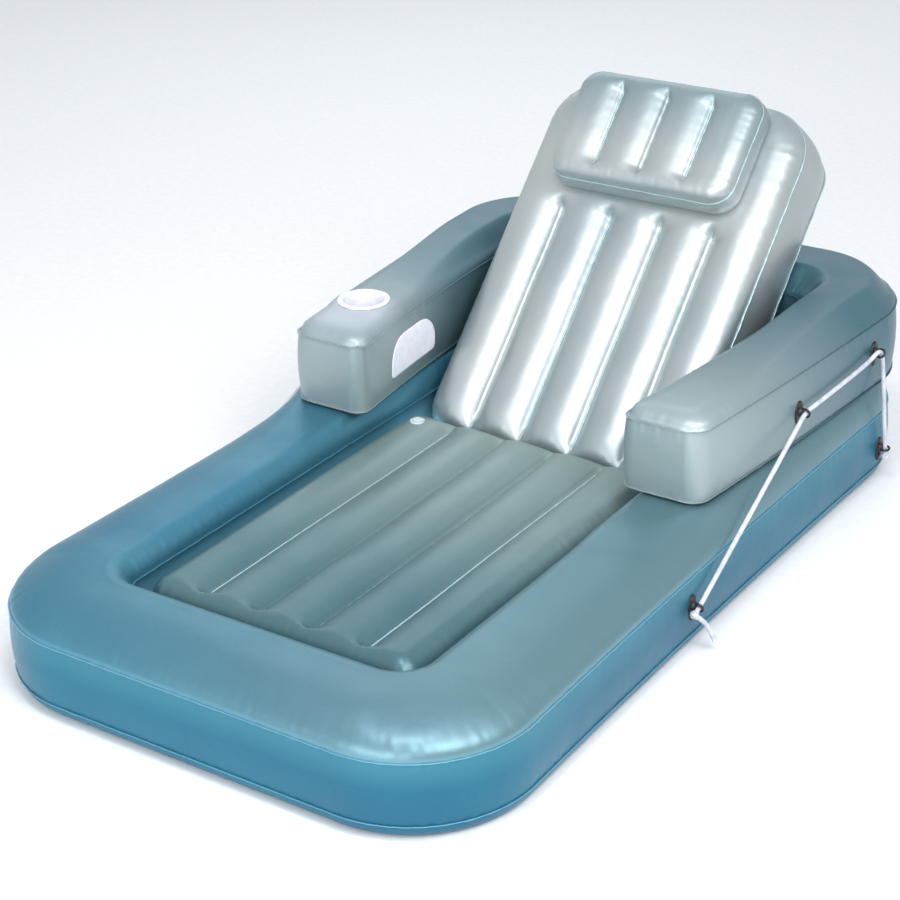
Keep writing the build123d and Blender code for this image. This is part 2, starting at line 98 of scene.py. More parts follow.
def ripple(along, seed, shortest=13.0, waves=7):
    """Uneven waves along a line, between about -1 and 1."""
    random = np.random.default_rng(seed)
    total = np.zeros_like(np.asarray(along, float))
    for _ in range(waves):
        length = shortest * random.uniform(1.0, 2.6)
        total = total + np.sin(along * 2 * math.pi / length + random.uniform(0, 6.3))
    return total / waves * 1.7


def swell(x, y, seed):
    """Slow unevenness of a blown-up panel, between about -1 and 1."""
    random = np.random.default_rng(seed)
    total = np.zeros_like(np.asarray(x, float))
    for _ in range(6):
        angle = random.uniform(0, math.pi)
        length = random.uniform(110, 300)
        phase = random.uniform(0, 6.3)
        distance = x * math.cos(angle) + y * math.sin(angle)
        total = total + np.sin(distance * 2 * math.pi / length + phase)
    return total / 6 * 1.5


def beside(gap, fade, start):
    """A bump that rises just beside a seam and fades away from it: gap is the distance from the seam."""
    return np.exp(-gap / fade) * (1 - np.exp(-gap / start))


def arch(inward):
    """Height of a quarter circle: 0 at the seam (inward 0), 1 at the crest (inward 1)."""
    t = 1 - np.clip(inward, 0, 1)
    return np.sqrt(np.clip(1 - t * t, 0, 1))


def arc_x(table, y):
    """X on the circular arc through three (y, x) points."""
    (y1, x1), (y2, x2), (y3, x3) = table
    a = x1 * (y2 - y3) - y1 * (x2 - x3) + x2 * y3 - x3 * y2
    s1, s2, s3 = x1 * x1 + y1 * y1, x2 * x2 + y2 * y2, x3 * x3 + y3 * y3
    cx = -(s1 * (y3 - y2) + s2 * (y1 - y3) + s3 * (y2 - y1)) / (2 * a)
    cy = -(s1 * (x2 - x3) + s2 * (x3 - x1) + s3 * (x1 - x2)) / (2 * a)
    radius = math.hypot(x1 - cx, y1 - cy)
    side = 1 if x2 > cx else -1
    return cx + side * np.sqrt(radius ** 2 - (np.asarray(y, float) - cy) ** 2)


def stations(length, low_reach, high_reach, step=STEP):
    """Distances from 0 to length, closer together towards both ends."""
    turn = np.linspace(0, math.pi / 2, EDGE_STEPS + 1)
    low = low_reach * (1 - np.cos(turn))
    high = length - high_reach * (1 - np.cos(turn))[::-1]
    count = max(3, int((length - low_reach - high_reach) / step))
    middle = np.linspace(low_reach, length - high_reach, count)[1:-1]
    return np.concatenate([low, middle, high])


# ---- meshes -------------------------------------------------------------------------------
def new_piece(name, points, faces, material, nodes=()):
    """A new piece from points in millimetres, not yet carried by a body."""
    mesh = bpy.data.meshes.new(name)
    mesh.from_pydata((np.asarray(points, float).reshape(-1, 3) * MM).tolist(), [], faces)
    mesh.update()
    mesh.polygons.foreach_set("use_smooth", [True] * len(mesh.polygons))
    mesh.materials.append(material)
    piece = bpy.data.objects.new(name, mesh)
    bpy.context.scene.collection.objects.link(piece)
    if nodes:
        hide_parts(*nodes)
    return piece


def add_mesh(name, points, faces, material, body, nodes=()):
    """A new piece that rides on a body."""
    piece = new_piece(name, points, faces, material, nodes)
    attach(piece, body)
    return piece


def slab(upper, lower):
    """Points and faces of a thin sheet between two grids of the same size."""
    index = numbered(*upper.shape[:2])
    size = index.size
    rim = rim_of(index)
    faces = sheet_faces(index) + sheet_faces(index + size, flip=True)
    faces += loop_faces(np.stack([rim, rim + size]), flip=True)
    return np.concatenate([upper.reshape(-1, 3), lower.reshape(-1, 3)]), faces


def sheet_faces(index, flip=False):
    """Quads over a two-dimensional array of point numbers."""
    a, b, c, d = index[:-1, :-1], index[:-1, 1:], index[1:, 1:], index[1:, :-1]
    quads = np.stack([a, b, c, d], axis=-1).reshape(-1, 4)
    if flip:
        quads = quads[:, ::-1]
    return quads.tolist()


def loop_faces(rings, flip=False):
    """Quads between closed rings: rings is an array of point numbers, one row for each ring."""
    closed = np.concatenate([rings, rings[:, :1]], axis=1)
    return sheet_faces(closed, flip)


def numbered(rows, columns):
    """The point numbers of a grid."""
    return np.arange(rows * columns).reshape(rows, columns)


def closed_round(numbers):
    """The same grid with its first row again at its end."""
    return np.concatenate([numbers, numbers[:1]], axis=0)


def tube_faces(rows, columns):
    """Quads over a row of closed rings, and a face at each end."""
    numbers = numbered(rows, columns)
    return loop_faces(numbers) + [numbers[0][::-1].tolist(), numbers[-1].tolist()]


def mirrored(points, faces, sign):
    """The same shape, or with sign -1 its mirror image across X = 0."""
    if sign < 0:
        faces = [face[::-1] for face in faces]
    return points * [sign, 1, 1], faces


def rim_of(index):
    """The point numbers round the edge of a grid, in order."""
    return np.concatenate([index[0, :], index[1:, -1], index[-1, -2::-1], index[-2:0:-1, 0]])


def loop_normals(loop):
    """Outward directions, in the XY plane, of a closed loop that runs anticlockwise."""
    tangent = np.roll(loop, -1, axis=0) - np.roll(loop, 1, axis=0)
    tangent = tangent[:, :2] / np.maximum(np.linalg.norm(tangent[:, :2], axis=1), 1e-9)[:, None]
    return np.stack([tangent[:, 1], -tangent[:, 0], np.zeros(len(loop))], axis=1)


def loop_lengths(loop):
    """Distance along a closed loop to each of its points."""
    steps = np.linalg.norm(np.roll(loop, -1, axis=0) - loop, axis=1)
    return np.concatenate([[0], np.cumsum(steps)[:-1]])


def band(name, path, out, up, width, thickness, material, body, seed):
    """A thin weld lip round a closed path: out is the way it sticks out and up is square to it."""
    along = loop_lengths(path)
    wave = ripple(along, seed, 16.0)[:, None]
    width = width * (1 + 0.16 * ripple(along, seed + 1, 40.0))[:, None]
    half = thickness / 2
    tip = path + out * width + up * wave * 0.5
    rings = np.stack([path + up * half, tip + up * half * 0.8, tip + out * half, tip - up * half * 0.8,
                      path - up * half], axis=0)
    faces = loop_faces(closed_round(numbered(5, len(path))))
    return add_mesh(name, rings, faces, material, body)


# ---- rounded rectangles of film -----------------------------------------------------------
class Panel:
    """Points over a rounded rectangle, x across and y along it, with what shapes its surface:
    inward (0 on the outline, 1 where the rounded edge ends) and along (distance round the outline)."""

    def __init__(self, half, length, low_corner, high_corner, reach, step=STEP, low_reach=None):
        low_reach = low_reach or reach
        y = stations(length, low_reach, reach, step)
        across = stations(2 * half, reach, reach, step) - half
        cut = np.maximum(self.corner_cut(y, low_corner), self.corner_cut(length - y, high_corner))
        self.x = across[None, :] * ((half - cut) / half)[:, None]
        self.y = np.repeat(y[:, None], len(across), axis=1)
        side, low, high = half - np.abs(self.x), self.y, length - self.y
        near_low = low < high
        corner = np.where(near_low, low_corner, high_corner)
        end = np.where(near_low, low, high)
        end_reach = np.where(near_low, low_reach, reach)
        self.in_corner = (side < corner) & (end < corner)
        round_gap = corner - np.hypot(corner - side, corner - end)
        self.edge = np.maximum(np.where(self.in_corner, round_gap, np.minimum(side, end)), 0)
        wide = corner >= reach
        square = 1 - np.hypot(np.clip(1 - side / reach, 0, 1), np.clip(1 - end / end_reach, 0, 1))
        inward = np.clip(np.where(wide, self.edge / reach, square), 0, 1)
        blended = np.clip(plain_min(side / reach, end / end_reach), 0, 1)
        rounded = np.clip(round_gap / reach, 0, 1)
        self.inward = np.where(self.in_corner & wide, rounded, np.minimum(inward, blended))
        angle = np.arctan2(np.maximum(corner - end, 0), np.maximum(corner - side, 1e-6))
        on_side = length / 2 - corner
        on_end = on_side + corner * math.pi / 2 + np.maximum(half - corner - np.abs(self.x), 0)
        in_end = (end < side) & ~self.in_corner
        along = np.where(in_end, on_end, on_side - (end - corner))
        along = np.where(self.in_corner, on_side + corner * angle, along)
        # far apart, so that the folds of the four quarters differ
        self.along = along + np.where(near_low, 5000, 0) + np.where(self.x > 0, 9000, 0)

    @staticmethod
    def corner_cut(distance, corner):
        inside = np.clip(corner - distance, 0, corner)
        return corner - np.sqrt(corner ** 2 - inside ** 2)

    def puckers(self, seed, size, fade=14.0, corner_gain=2.2):
        """Small folds square to the seam, deepest beside it and in the corners."""
        depth = size * beside(self.edge, fade, 1.5)
        depth = depth * np.where(self.in_corner, corner_gain, 1.0)
        return depth * ripple(self.along, seed)


def plain_min(a, b):
    """The smaller of two numbers, with the crease between them smoothed away."""
    gap = np.clip(0.5 + (b - a) / 0.7, 0, 1)
    return mix(b, a, gap) - 0.35 * gap * (1 - gap)


def tubes(x, half, count):
    """0 in the grooves between tubes and 1 on their crests; the outer flanks stay at 1."""
    pitch = 2 * half / count
    offset = (x + half) / pitch
    nearest = np.clip(np.round(offset), 1, count - 1)
    gap = np.abs(offset - nearest) * pitch
    t = np.clip(gap / (pitch / 2), 0, 1)
    outer = (offset < 0.5) | (offset > count - 0.5)
    return np.where(outer, 1.0, np.sqrt(np.clip(1 - (1 - t) ** 2.0, 0, 1))), gap


def grooves(x, y, half, count, depth, low, high, seed, fold=1.1):
    """How far a quilted panel sinks: grooves from low to high, with folds running into them."""
    crest, gap = tubes(x, half, count)
    fade = smooth(y, low - 6, low + 22) * (1 - smooth(y, high - 22, high + 6))
    sink = depth * (1 - crest) * fade
    pinch = beside(gap, 9, 2) * fade
    nearest = np.round((x + half) / (2 * half / count))
    near_end = np.exp(-np.minimum(np.abs(y - low), np.abs(y - high)) / 30)
    folds = fold * pinch * (0.55 + 1.8 * near_end) * ripple(y + 700 * nearest, seed, 14.0)
    return sink - folds


def chamber(name, top, bottom, wall_rows, bulge, seed, material, body, nodes, place,
            fold=0.7, turn=False):
    """A closed film: a top grid, a bottom grid of the same size, and a bulging wall between their edges."""
    index = numbered(*top.shape[:2])
    size = index.size
    rim = rim_of(index)
    upper, lower = top.reshape(-1, 3)[rim], bottom.reshape(-1, 3)[rim]
    out = loop_normals(upper) * (-1 if turn else 1)
    along = loop_lengths(upper)
    walls = []
    height = np.linalg.norm(upper - lower, axis=1)
    for row in range(1, wall_rows):
        t = 0.5 - 0.5 * math.cos(math.pi * row / wall_rows)
        gap_top, gap_low = t * height, (1 - t) * height
        push = bulge * (1 - (2 * t - 1) ** 2)
        push = push + fold * beside(gap_top, 12, 2) * ripple(along, seed)
        push = push + fold * beside(gap_low, 12, 2) * ripple(along, seed + 5)
        walls.append(mix(upper, lower, t) + out * push[:, None])
    wall_index = 2 * size + numbered(wall_rows - 1, len(rim))
    rings = np.concatenate([rim[None, :], wall_index, (size + rim)[None, :]], axis=0)
    faces = sheet_faces(index, flip=turn) + sheet_faces(size + index, flip=not turn)
    faces += loop_faces(rings, flip=not turn)
    points = np.concatenate([top.reshape(-1, 3), bottom.reshape(-1, 3)] + walls)
    return add_mesh(name, place(points), faces, material, body, nodes), rim, out


def as_is(points):
    """For pieces whose points are already in the whole object's frame."""
    return np.asarray(points, float)


def on_back(points):
    """From the backrest's own frame to the whole object's frame, at rest."""
    points = np.asarray(points, float)
    x, s, z = points[..., 0], points[..., 1], points[..., 2]
    y = HINGE_Y + s * math.cos(LEAN) - z * math.sin(LEAN)
    height = HINGE_Z + s * math.sin(LEAN) + z * math.cos(LEAN)
    return np.stack([x, y, height], axis=-1)


def seam_weld(name, seam, out, width, material, body, seed, thickness=1.2, place=as_is):
    """A weld lip on a chamber's seam; place carries seam and out to the whole object's frame."""
    lip = place(out) - place(out * 0)
    up = np.tile(place([[0.0, 0.0, 1.0]]) - place([[0.0, 0.0, 0.0]]), (len(seam), 1))
    band(name, place(seam) - lip * SEAM_TUCK, lip, up, width, thickness, material, body, seed)


# ---- materials ----------------------------------------------------------------------------
def new_material(name):
    material = bpy.data.materials.new(name)
    material.use_nodes = True
    tree = material.node_tree
    shader = tree.nodes["Principled BSDF"]
    return material, tree, shader


def linear(red, green, blue):
    """A colour given as the screen shows it, 0 to 255, as linear light."""
    values = []
    for channel in (red, green, blue):
        c = channel / 255
        values.append(c / 12.92 if c <= 0.04045 else ((c + 0.055) / 1.055) ** 2.4)
    return (*values, 1.0)


def object_place(tree):
    """Where a point is in its object, in metres."""
    return tree.nodes.new("ShaderNodeTexCoord").outputs["Object"]


def noise(tree, scale, detail, roughness=0.5):
    node = tree.nodes.new("ShaderNodeTexNoise")
    node.inputs["Scale"].default_value = scale
    node.inputs["Detail"].default_value = detail
    node.inputs["Roughness"].default_value = roughness
    tree.links.new(object_place(tree), node.inputs["Vector"])
    return node.outputs["Fac"]


def map_range(tree, value, low, high, out_low, out_high):
    node = tree.nodes.new("ShaderNodeMapRange")
    node.inputs["From Min"].default_value = low
    node.inputs["From Max"].default_value = high
    node.inputs["To Min"].default_value = out_low
    node.inputs["To Max"].default_value = out_high
    tree.links.new(value, node.inputs["Value"])
    return node.outputs["Result"]


def mix_colour(tree, share, a, b):
    node = tree.nodes.new("ShaderNodeMix")
    node.data_type = "RGBA"
    tree.links.new(share, node.inputs[0])
    for socket, value in ((node.inputs[6], a), (node.inputs[7], b)):
        if isinstance(value, tuple):
            socket.default_value = value
        else:
            tree.links.new(value, socket)
    return node.outputs[2]


def bump_chain(tree, shader, layers):
    """Bumps on bumps: each layer is (height output, strength, distance)."""
    last = None
    for height, strength, distance in layers:
        node = tree.nodes.new("ShaderNodeBump")
        node.inputs["Strength"].default_value = strength
        node.inputs["Distance"].default_value = distance
        tree.links.new(height, node.inputs["Height"])
        if last is not None:
            tree.links.new(last, node.inputs["Normal"])
        last = node.outputs["Normal"]
    tree.links.new(last, shader.inputs["Normal"])


def uneven_gloss(tree, shader, scale, detail, low, high):
    """Roughness that wanders a little over the surface."""
    gloss = map_range(tree, noise(tree, scale, detail), 0.3, 0.7, low, high)
    tree.links.new(gloss, shader.inputs["Roughness"])


def film(name, light, deep, metallic, rough, coat, gradients=(), flake_share=0.06, halo=None):
    """Pearl vinyl film: two close shades, a soft sheen of pearl flake and a fine orange-peel surface.
    Each gradient is (axis, low, high, colour): a tint that comes in along that axis, in metres.
    halo is (centre, low, high, share, colour): a painted highlight, a tint round a place that fades between
    two distances."""
    material, tree, shader = new_material(name)
    share = map_range(tree, noise(tree, 3.2, 2.0), 0.32, 0.68, 0, 1)
    colour = mix_colour(tree, share, linear(*light), linear(*deep))
    for axis, low, high, tint in gradients:
        split = tree.nodes.new("ShaderNodeSeparateXYZ")
        tree.links.new(object_place(tree), split.inputs["Vector"])
        share = map_range(tree, split.outputs[axis], low, high, 0, 1)
        colour = mix_colour(tree, share, colour, linear(*tint))
    if halo:
        centre, low, high, most, tint = halo
        distance = tree.nodes.new("ShaderNodeVectorMath")
        distance.operation = "DISTANCE"
        distance.inputs[1].default_value = centre
        tree.links.new(object_place(tree), distance.inputs[0])
        share = map_range(tree, distance.outputs["Value"], low, high, most, 0)
        colour = mix_colour(tree, share, colour, linear(*tint))
    share = map_range(tree, noise(tree, 900, 1.0), 0.35, 0.75, 0, flake_share)
    colour = mix_colour(tree, share, colour, linear(*FLAKE))
    tree.links.new(colour, shader.inputs["Base Color"])
    shader.inputs["Metallic"].default_value = metallic
    shader.inputs["IOR"].default_value = VINYL_IOR
    shader.inputs["Coat Weight"].default_value = coat
    shader.inputs["Coat Roughness"].default_value = 0.17
    uneven_gloss(tree, shader, 14, 3.0, rough - 0.04, rough + 0.05)
    peel, slack = noise(tree, 380, 2.0), noise(tree, 26, 2.0, 0.45)
    bump_chain(tree, shader, [(peel, 0.10, 0.0004), (slack, 0.22, 0.004)])
    return material


def plain(name, colour, rough, bump_scale, bump_size, second, coat=0.0):
    """A moulded or woven material with small changes of colour and a fine surface."""
    material, tree, shader = new_material(name)
    share = map_range(tree, noise(tree, 60, 3.0), 0.35, 0.65, 0, 1)
    shades = mix_colour(tree, share, linear(*colour), linear(*second))
    tree.links.new(shades, shader.inputs["Base Color"])
    shader.inputs["Coat Weight"].default_value = coat
    shader.inputs["Coat Roughness"].default_value = 0.15
    uneven_gloss(tree, shader, 35, 2.0, rough - 0.05, rough + 0.06)
    bump_chain(tree, shader, [(noise(tree, bump_scale, 3.0, 0.6), 0.35, bump_size)])
    return material


# colours are as the screen shows them, 0 to 255
FLAKE = (215, 225, 225)
VINYL_IOR = 1.53
# Centre of a painted milky highlight on the ring's top, just in front of the cup holder and a little to its
# right.
CUP_HIGHLIGHT_CENTRE = ((CUP_X + 15) * MM, (CUP_Y - 60) * MM, RING_TOP * MM)
BLUE = film("blue_pearl_film", (2, 106, 132), (1, 94, 122), 0.45, 0.42, 0.15,
            [("Z", 0.09, 0.15, (52, 124, 142))], 0.02)
# The deck's X tint is painted light: the deck turns lighter grey-teal towards +X, the side nearer the key
# softbox. Its Z tint is painted light too: the deck brightens down into the well, standing in for light that
# shines through the film into the shaded channel.
DECK = film("deck_pearl_film", (62, 127, 149), (46, 118, 146), 0.68, 0.44, 0.15,
            [("X", -0.35, 0.45, (96, 132, 141)), ("Z", 0.147, 0.112, (128, 196, 220))])
# The ring film's halo is a painted highlight round the cup holder, in milky lavender.
RING = film("ring_pearl_film", (158, 171, 171), (134, 157, 162), 0.5, 0.44, 0.25,
            [("Y", -0.02, 0.55, (56, 100, 114))], 0.06,
            (CUP_HIGHLIGHT_CENTRE, 0.04, 0.11, 0.5, (200, 202, 218)))
SEAT = film("seat_pearl_film", (74, 112, 118), (62, 104, 114), 0.5, 0.44, 0.2,
            [("Y", -0.45, 0.2, (138, 158, 154))])
# The Z tint is painted shade: the backrest and pillow turn darker teal towards their tops, where the film
# curves away from the lights.
PEARL = film("silver_pearl_film", (184, 189, 188), (164, 176, 178), 0.74, 0.43, 0.2,
             [("Z", 0.60, 0.72, (128, 150, 156))])
# The two weld films are coloured lighter than the films they join: a painted highlight along each seam and
# groove line.
WELD = film("weld_film_painted_highlight", (104, 164, 184), (90, 152, 176), 0.35, 0.36, 0.3)
WELD_SILVER = film("weld_silver_film_painted_highlight", (176, 198, 198), (156, 184, 188), 0.5, 0.34, 0.3)
CLEAR = film("clear_film", (150, 175, 178), (130, 160, 166), 0.2, 0.3, 0.4)
WHITE = plain("white_vinyl", (236, 237, 246), 0.38, 240, 0.0003, (226, 228, 238), 0.3)
PATCH = plain("white_patch", (238, 239, 248), 0.5, 300, 0.0002, (228, 230, 240), 0.1)
BLACK = plain("black_moulded_vinyl", (13, 13, 15), 0.46, 420, 0.0003, (22, 22, 25), 0.1)
ROPE = plain("white_braid", (206, 209, 216), 0.72, 1500, 0.0004, (180, 184, 194), 0.0)
VALVE = plain("frosted_valve_vinyl", (206, 220, 226), 0.3, 400, 0.0002, (192, 210, 218), 0.4)


# ---- base ---------------------------------------------------------------------------------
def rounded_loop(side, front, rear, corner, per_side, per_end, per_corner):
    """A closed outline, anticlockwise from the middle of its front: side(y) is its half width at y."""
    def half_loop():
        low_x, high_x = side(front + corner) - corner, side(rear - corner) - corner
        turn = np.linspace(-math.pi / 2, 0, per_corner, endpoint=False)
        yield np.stack([np.linspace(0, low_x, per_end, endpoint=False), np.full(per_end, front)], axis=1)
        yield np.stack([low_x + corner * np.cos(turn), front + corner + corner * np.sin(turn)], axis=1)
        y = np.linspace(front + corner, rear - corner, per_side, endpoint=False)
        yield np.stack([side(y), y], axis=1)
        turn = np.linspace(0, math.pi / 2, per_corner, endpoint=False)
        yield np.stack([high_x + corner * np.cos(turn), rear - corner + corner * np.sin(turn)], axis=1)
        yield np.stack([np.linspace(high_x, 0, per_end, endpoint=False), np.full(per_end, rear)], axis=1)
    right = np.concatenate(list(half_loop()))
    left = right[1:][::-1] * [-1, 1]
    top = np.array([[0.0, rear]])
    return np.concatenate([right, top, left])


def base_side(y):
    return SIDE_X - SIDE_WAIST * (1 - (np.asarray(y, float) / END_Y) ** 2)


COUNTS = (300, 90, 72)
OUTER = rounded_loop(base_side, -END_Y, END_Y, BASE_CORNER, *COUNTS)
WELL = rounded_loop(lambda y: WELL_X + 0 * np.asarray(y, float), WELL_FRONT, WELL_REAR, WELL_CORNER, *COUNTS)


def flat3(loop, z):
    return np.concatenate([loop, np.full((len(loop), 1), z)], axis=1)


def middle_line(loop, front, rear, z):
    """A point on the middle line for each point of a loop, to close a flat panel on."""
    return np.stack([0 * loop[:, 0], np.clip(loop[:, 1], front, rear), np.full(len(loop), z)], axis=1)


def in_base_corners():
    """1 in the base's four rounded corners and 0 along its straight sides."""
    ends = smooth(np.abs(OUTER[:, 1]), END_Y - BASE_CORNER - 20, END_Y - 120)
    return ends * smooth(np.abs(OUTER[:, 0]), 300, 400)


def base_top_rings():
    """Rings of the deck, from its outer weld, over the border and down into the well."""
    out = loop_normals(flat3(OUTER, 0))[:, :2]
    seam = OUTER - out * PULL
    gap = np.linalg.norm(WELL - seam, axis=1)
    along, well_along = loop_lengths(OUTER), loop_lengths(WELL)
    under_ring = smooth(OUTER[:, 1], -60, 70)
    deck_top = BASE_TOP + (RING_BOTTOM - BASE_TOP) * smooth(OUTER[:, 1], -150, -40)
    # how far the rounding goes in from the outer weld and out from the well
    inner_reach = 38.0
    corner = in_base_corners()
    outer_reach = mix(118.0, 50.0, under_ring) + 46.0 * corner * (1 - under_ring)
    outer_reach = np.minimum(outer_reach, gap - inner_reach - 14.0)
    curve = 1 - np.cos(np.linspace(0, math.pi / 2, 19))
    rings = list(outer_reach[None, :] * curve[:, None])
    rings += [mix(outer_reach, gap - inner_reach, share) for share in np.linspace(0, 1, 26)[1:-1]]
    rings += [gap - distance for distance in inner_reach * curve[::-1]]
    points = []
    for inward in rings:
        xy = seam + (WELL - seam) * (inward / gap)[:, None]
        rise = arch(inward / outer_reach)
        drop = 1 - arch((gap - inward) / inner_reach)
        z = BASE_TOP_SEAM + (deck_top - BASE_TOP_SEAM) * rise - (deck_top - WELL_RIM) * drop
        waves = 1.3 * swell(xy[:, 0], xy[:, 1], 3) * smooth(inward, 8, 60)
        z = z + waves * smooth(gap - inward, 8, 50) * (1 - under_ring)
        z = z + (0.6 + 0.8 * corner) * beside(inward, 13, 1.6) * ripple(along, 21)
        z = z + 0.9 * beside(gap - inward, 12, 2) * ripple(well_along, 22)
        points.append(np.concatenate([xy, z[:, None]], axis=1))
    inset = loop_normals(flat3(WELL, 0))
    for share in np.linspace(0, 1, 11)[1:]:
        z = mix(WELL_RIM, WELL_LEDGE, share ** 0.9)
        points.append(flat3(WELL, z) - inset * (LEDGE_INSET * share ** 2.2))
    for step in (3.0, 6.0):
        points.append(flat3(WELL, WELL_LEDGE - step * step * 0.2) - inset * (LEDGE_INSET + step))
    points.append(flat3(WELL, WELL_FLOOR) - inset * (LEDGE_INSET + 12.0))
    floor = points[-1]
    middle = middle_line(floor, WELL_FRONT + 290, WELL_REAR - 290, WELL_FLOOR)
    for share in (0.15, 0.35, 0.6, 0.85, 1.0):
        points.append(mix(floor, middle, share))
    return np.stack(points)


def base_side_rings():
    """Rings of the blue panel, from the centre of the bottom up to the top weld."""
    out = loop_normals(flat3(OUTER, 0))
    along = loop_lengths(OUTER)
    low = flat3(OUTER, BASE_BOTTOM_SEAM) - out * PULL
    under, reach = 0.5, 26       # height of the flat bottom and how far its rounding goes in
    flat_edge = flat3(OUTER, under) - out * (PULL + reach)
    middle = middle_line(OUTER, -END_Y + 480, END_Y - 480, under)
    rings = [mix(flat_edge, middle, share) for share in (1.0, 0.8, 0.55, 0.3, 0.12, 0.0)]
    for turn in np.linspace(0, math.pi / 2, 12)[1:]:
        ring = flat3(OUTER, BASE_BOTTOM_SEAM - (BASE_BOTTOM_SEAM - under) * math.cos(turn))
        rings.append(ring - out * (PULL + reach * (1 - math.sin(turn))))
    height = BASE_TOP_SEAM - BASE_BOTTOM_SEAM
    folds = 0.5 + 1.0 * in_base_corners()
    for row in range(1, 27):
        t = 0.5 - 0.5 * math.cos(math.pi * row / 26)
        z = BASE_BOTTOM_SEAM + height * t
        push = PULL * (1 - (2 * t - 1) ** 2) + 0.5 * swell(along, np.full(len(along), z), 6) * 4 * t * (1 - t)
        push = push + folds * beside((1 - t) * height, 12, 2) * ripple(along, 23)
        push = push + folds * beside(t * height, 12, 2) * ripple(along, 24)
        rings.append(flat3(OUTER, z) - out * (PULL - push)[:, None])
    return np.stack(rings), low, out


def build_base():
    rings = base_top_rings()
    faces = loop_faces(numbered(*rings.shape[:2]))
    deck = add_mesh("base_deck_panel", rings, faces, DECK, "float", ["base_top_sheet"])
    rings, low, out = base_side_rings()
    faces = loop_faces(numbered(*rings.shape[:2]))
    hull = add_mesh("base_side_panel", rings, faces, BLUE, "float",
                    ["base_side_band", "base_bottom_sheet", "base_floor_webs"])
    up = np.tile([0.0, 0.0, 1.0], (len(OUTER), 1))
    seam = flat3(OUTER, BASE_TOP_SEAM) - out * (PULL + SEAM_TUCK)
    band("base_top_weld", seam, out, up, 3.2, 1.3, WELD, "float", seed=41)
    inward = -loop_normals(flat3(WELL, 0))[::-1]
    seam = flat3(WELL, WELL_RIM - 0.5)[::-1] - inward * 1.0
    band("base_well_weld", seam, inward, up, 4.5, 2.4, DECK, "float", seed=42)
    seam_weld("base_bottom_weld", low, out, 3.0, WELD, "float", seed=43, thickness=1.3)


# ---- seat ---------------------------------------------------------------------------------
def seat_surface(panel):
    sink = grooves(panel.x, panel.y, SEAT_X - PULL, SEAT_TUBES, SEAT_RISE, 26, 2000, 51, 0.9)
    rise = arch(panel.inward)
    z = SEAT_SEAM + (SEAT_CREST - SEAT_SEAM) * rise - sink * smooth(panel.inward, 0.15, 1.0)
    waves = 1.0 * swell(panel.x, panel.y, 53) * smooth(panel.inward, 0.4, 1)
    return z + panel.puckers(52, 1.3, corner_gain=3.4) + waves


def build_seat():
    half, length = SEAT_X - PULL, SEAT_REAR - SEAT_FRONT - 2 * PULL
    panel = Panel(half, length, 40.0, 36.0, 40.0, low_reach=32.0)
    y = panel.y + SEAT_FRONT + PULL
    top = np.stack([panel.x, y, seat_surface(panel)], axis=-1)
    # the bottom is a little smaller than the top and curls up at its edge
    middle = (SEAT_FRONT + SEAT_REAR) / 2
    curl = 12.0 * (1 - arch(np.clip(panel.edge / 18.0, 0, 1)))
    low_y = (y - middle) * 0.98 + middle
    bottom = np.stack([panel.x * 0.965, low_y, WELL_FLOOR + 0.4 + curl * 0.4], axis=-1)
    piece, rim, out = chamber("seat_cushion", top, bottom, 10, 4.0, 54, SEAT, "float",
                              ["seat_top_sheet", "seat_bottom_sheet", "seat_webs"], as_is)
    seam = top.reshape(-1, 3)[rim]
    seam_weld("seat_weld", seam, out, 3.0, WELD_SILVER, "float", seed=55)
    groove_welds("seat_groove_weld", half, SEAT_TUBES, 30, length - 30, panel, top, as_is,
                 "float")


def groove_welds(name, half, count, low, high, panel, top, place, body):
    """The flattened weld line at the bottom of each groove."""
    pitch = 2 * half / count
    rows = np.where((panel.y[:, 0] > low) & (panel.y[:, 0] < high))[0]
    shift = top[0, 0, 0] - panel.x[0, 0]
    for number in range(1, count):
        x = -half + number * pitch
        path = []
        for row in rows:
            z = np.interp(x, panel.x[row], top[row, :, 2])
            path.append((x + shift, top[row, 0, 1], z))
        path = np.array(path)
        across = np.tile([1.0, 0.0, 0.0], (len(path), 1))
        up = np.tile([0.0, 0.0, 1.0], (len(path), 1))
        points = weld_strip(path, across, up, 2.0, 1.3, number)
        numbers = numbered(6, len(path))
        faces = sheet_faces(closed_round(numbers), flip=True)
        faces += [numbers[:, 0][::-1].tolist(), numbers[:, -1].tolist()]
        add_mesh(name + "_" + str(number), place(points), faces, WELD_SILVER, body)


def weld_strip(path, across, up, half, rise, seed):
    """Six edges of a low rounded strip along a path."""
    along = loop_lengths(path)
    half = half * (1 + 0.2 * ripple(along, 70 + seed, 24.0))[:, None]
    end = np.minimum(np.arange(len(path)), np.arange(len(path))[::-1])
    half = half * smooth(end, -1, 3)[:, None]
    lift = rise + 0.25 * ripple(along, 80 + seed, 12.0)[:, None]
    return np.stack([path - across * half - up * 1.5, path - across * half * 0.9 + up * lift * 0.5,
                     path - across * half * 0.4 + up * lift, path + across * half * 0.4 + up * lift,
                     path + across * half * 0.9 + up * lift * 0.5, path + across * half - up * 1.5])


# ---- arm ring -----------------------------------------------------------------------------
def rail(table, end_y, corner):
    """One wall of the ring seen from above, from the front of the right arm round to the left."""
    turn = np.linspace(0, math.pi / 2, 110, endpoint=False)
    y = mix(RING_FRONT, end_y - corner, np.linspace(0, 1, 240, endpoint=False))
    centre = float(arc_x(table, end_y - corner)) - corner
    arm = np.stack([arc_x(table, y), y], axis=1)
    bend = np.stack([centre + corner * np.cos(turn), end_y - corner + corner * np.sin(turn)], axis=1)
    bar = np.stack([centre * np.linspace(1, 0, 80), np.full(80, end_y)], axis=1)
    half = np.concatenate([arm, bend, bar])
    return np.concatenate([half, half[:-1][::-1] * [-1, 1]])


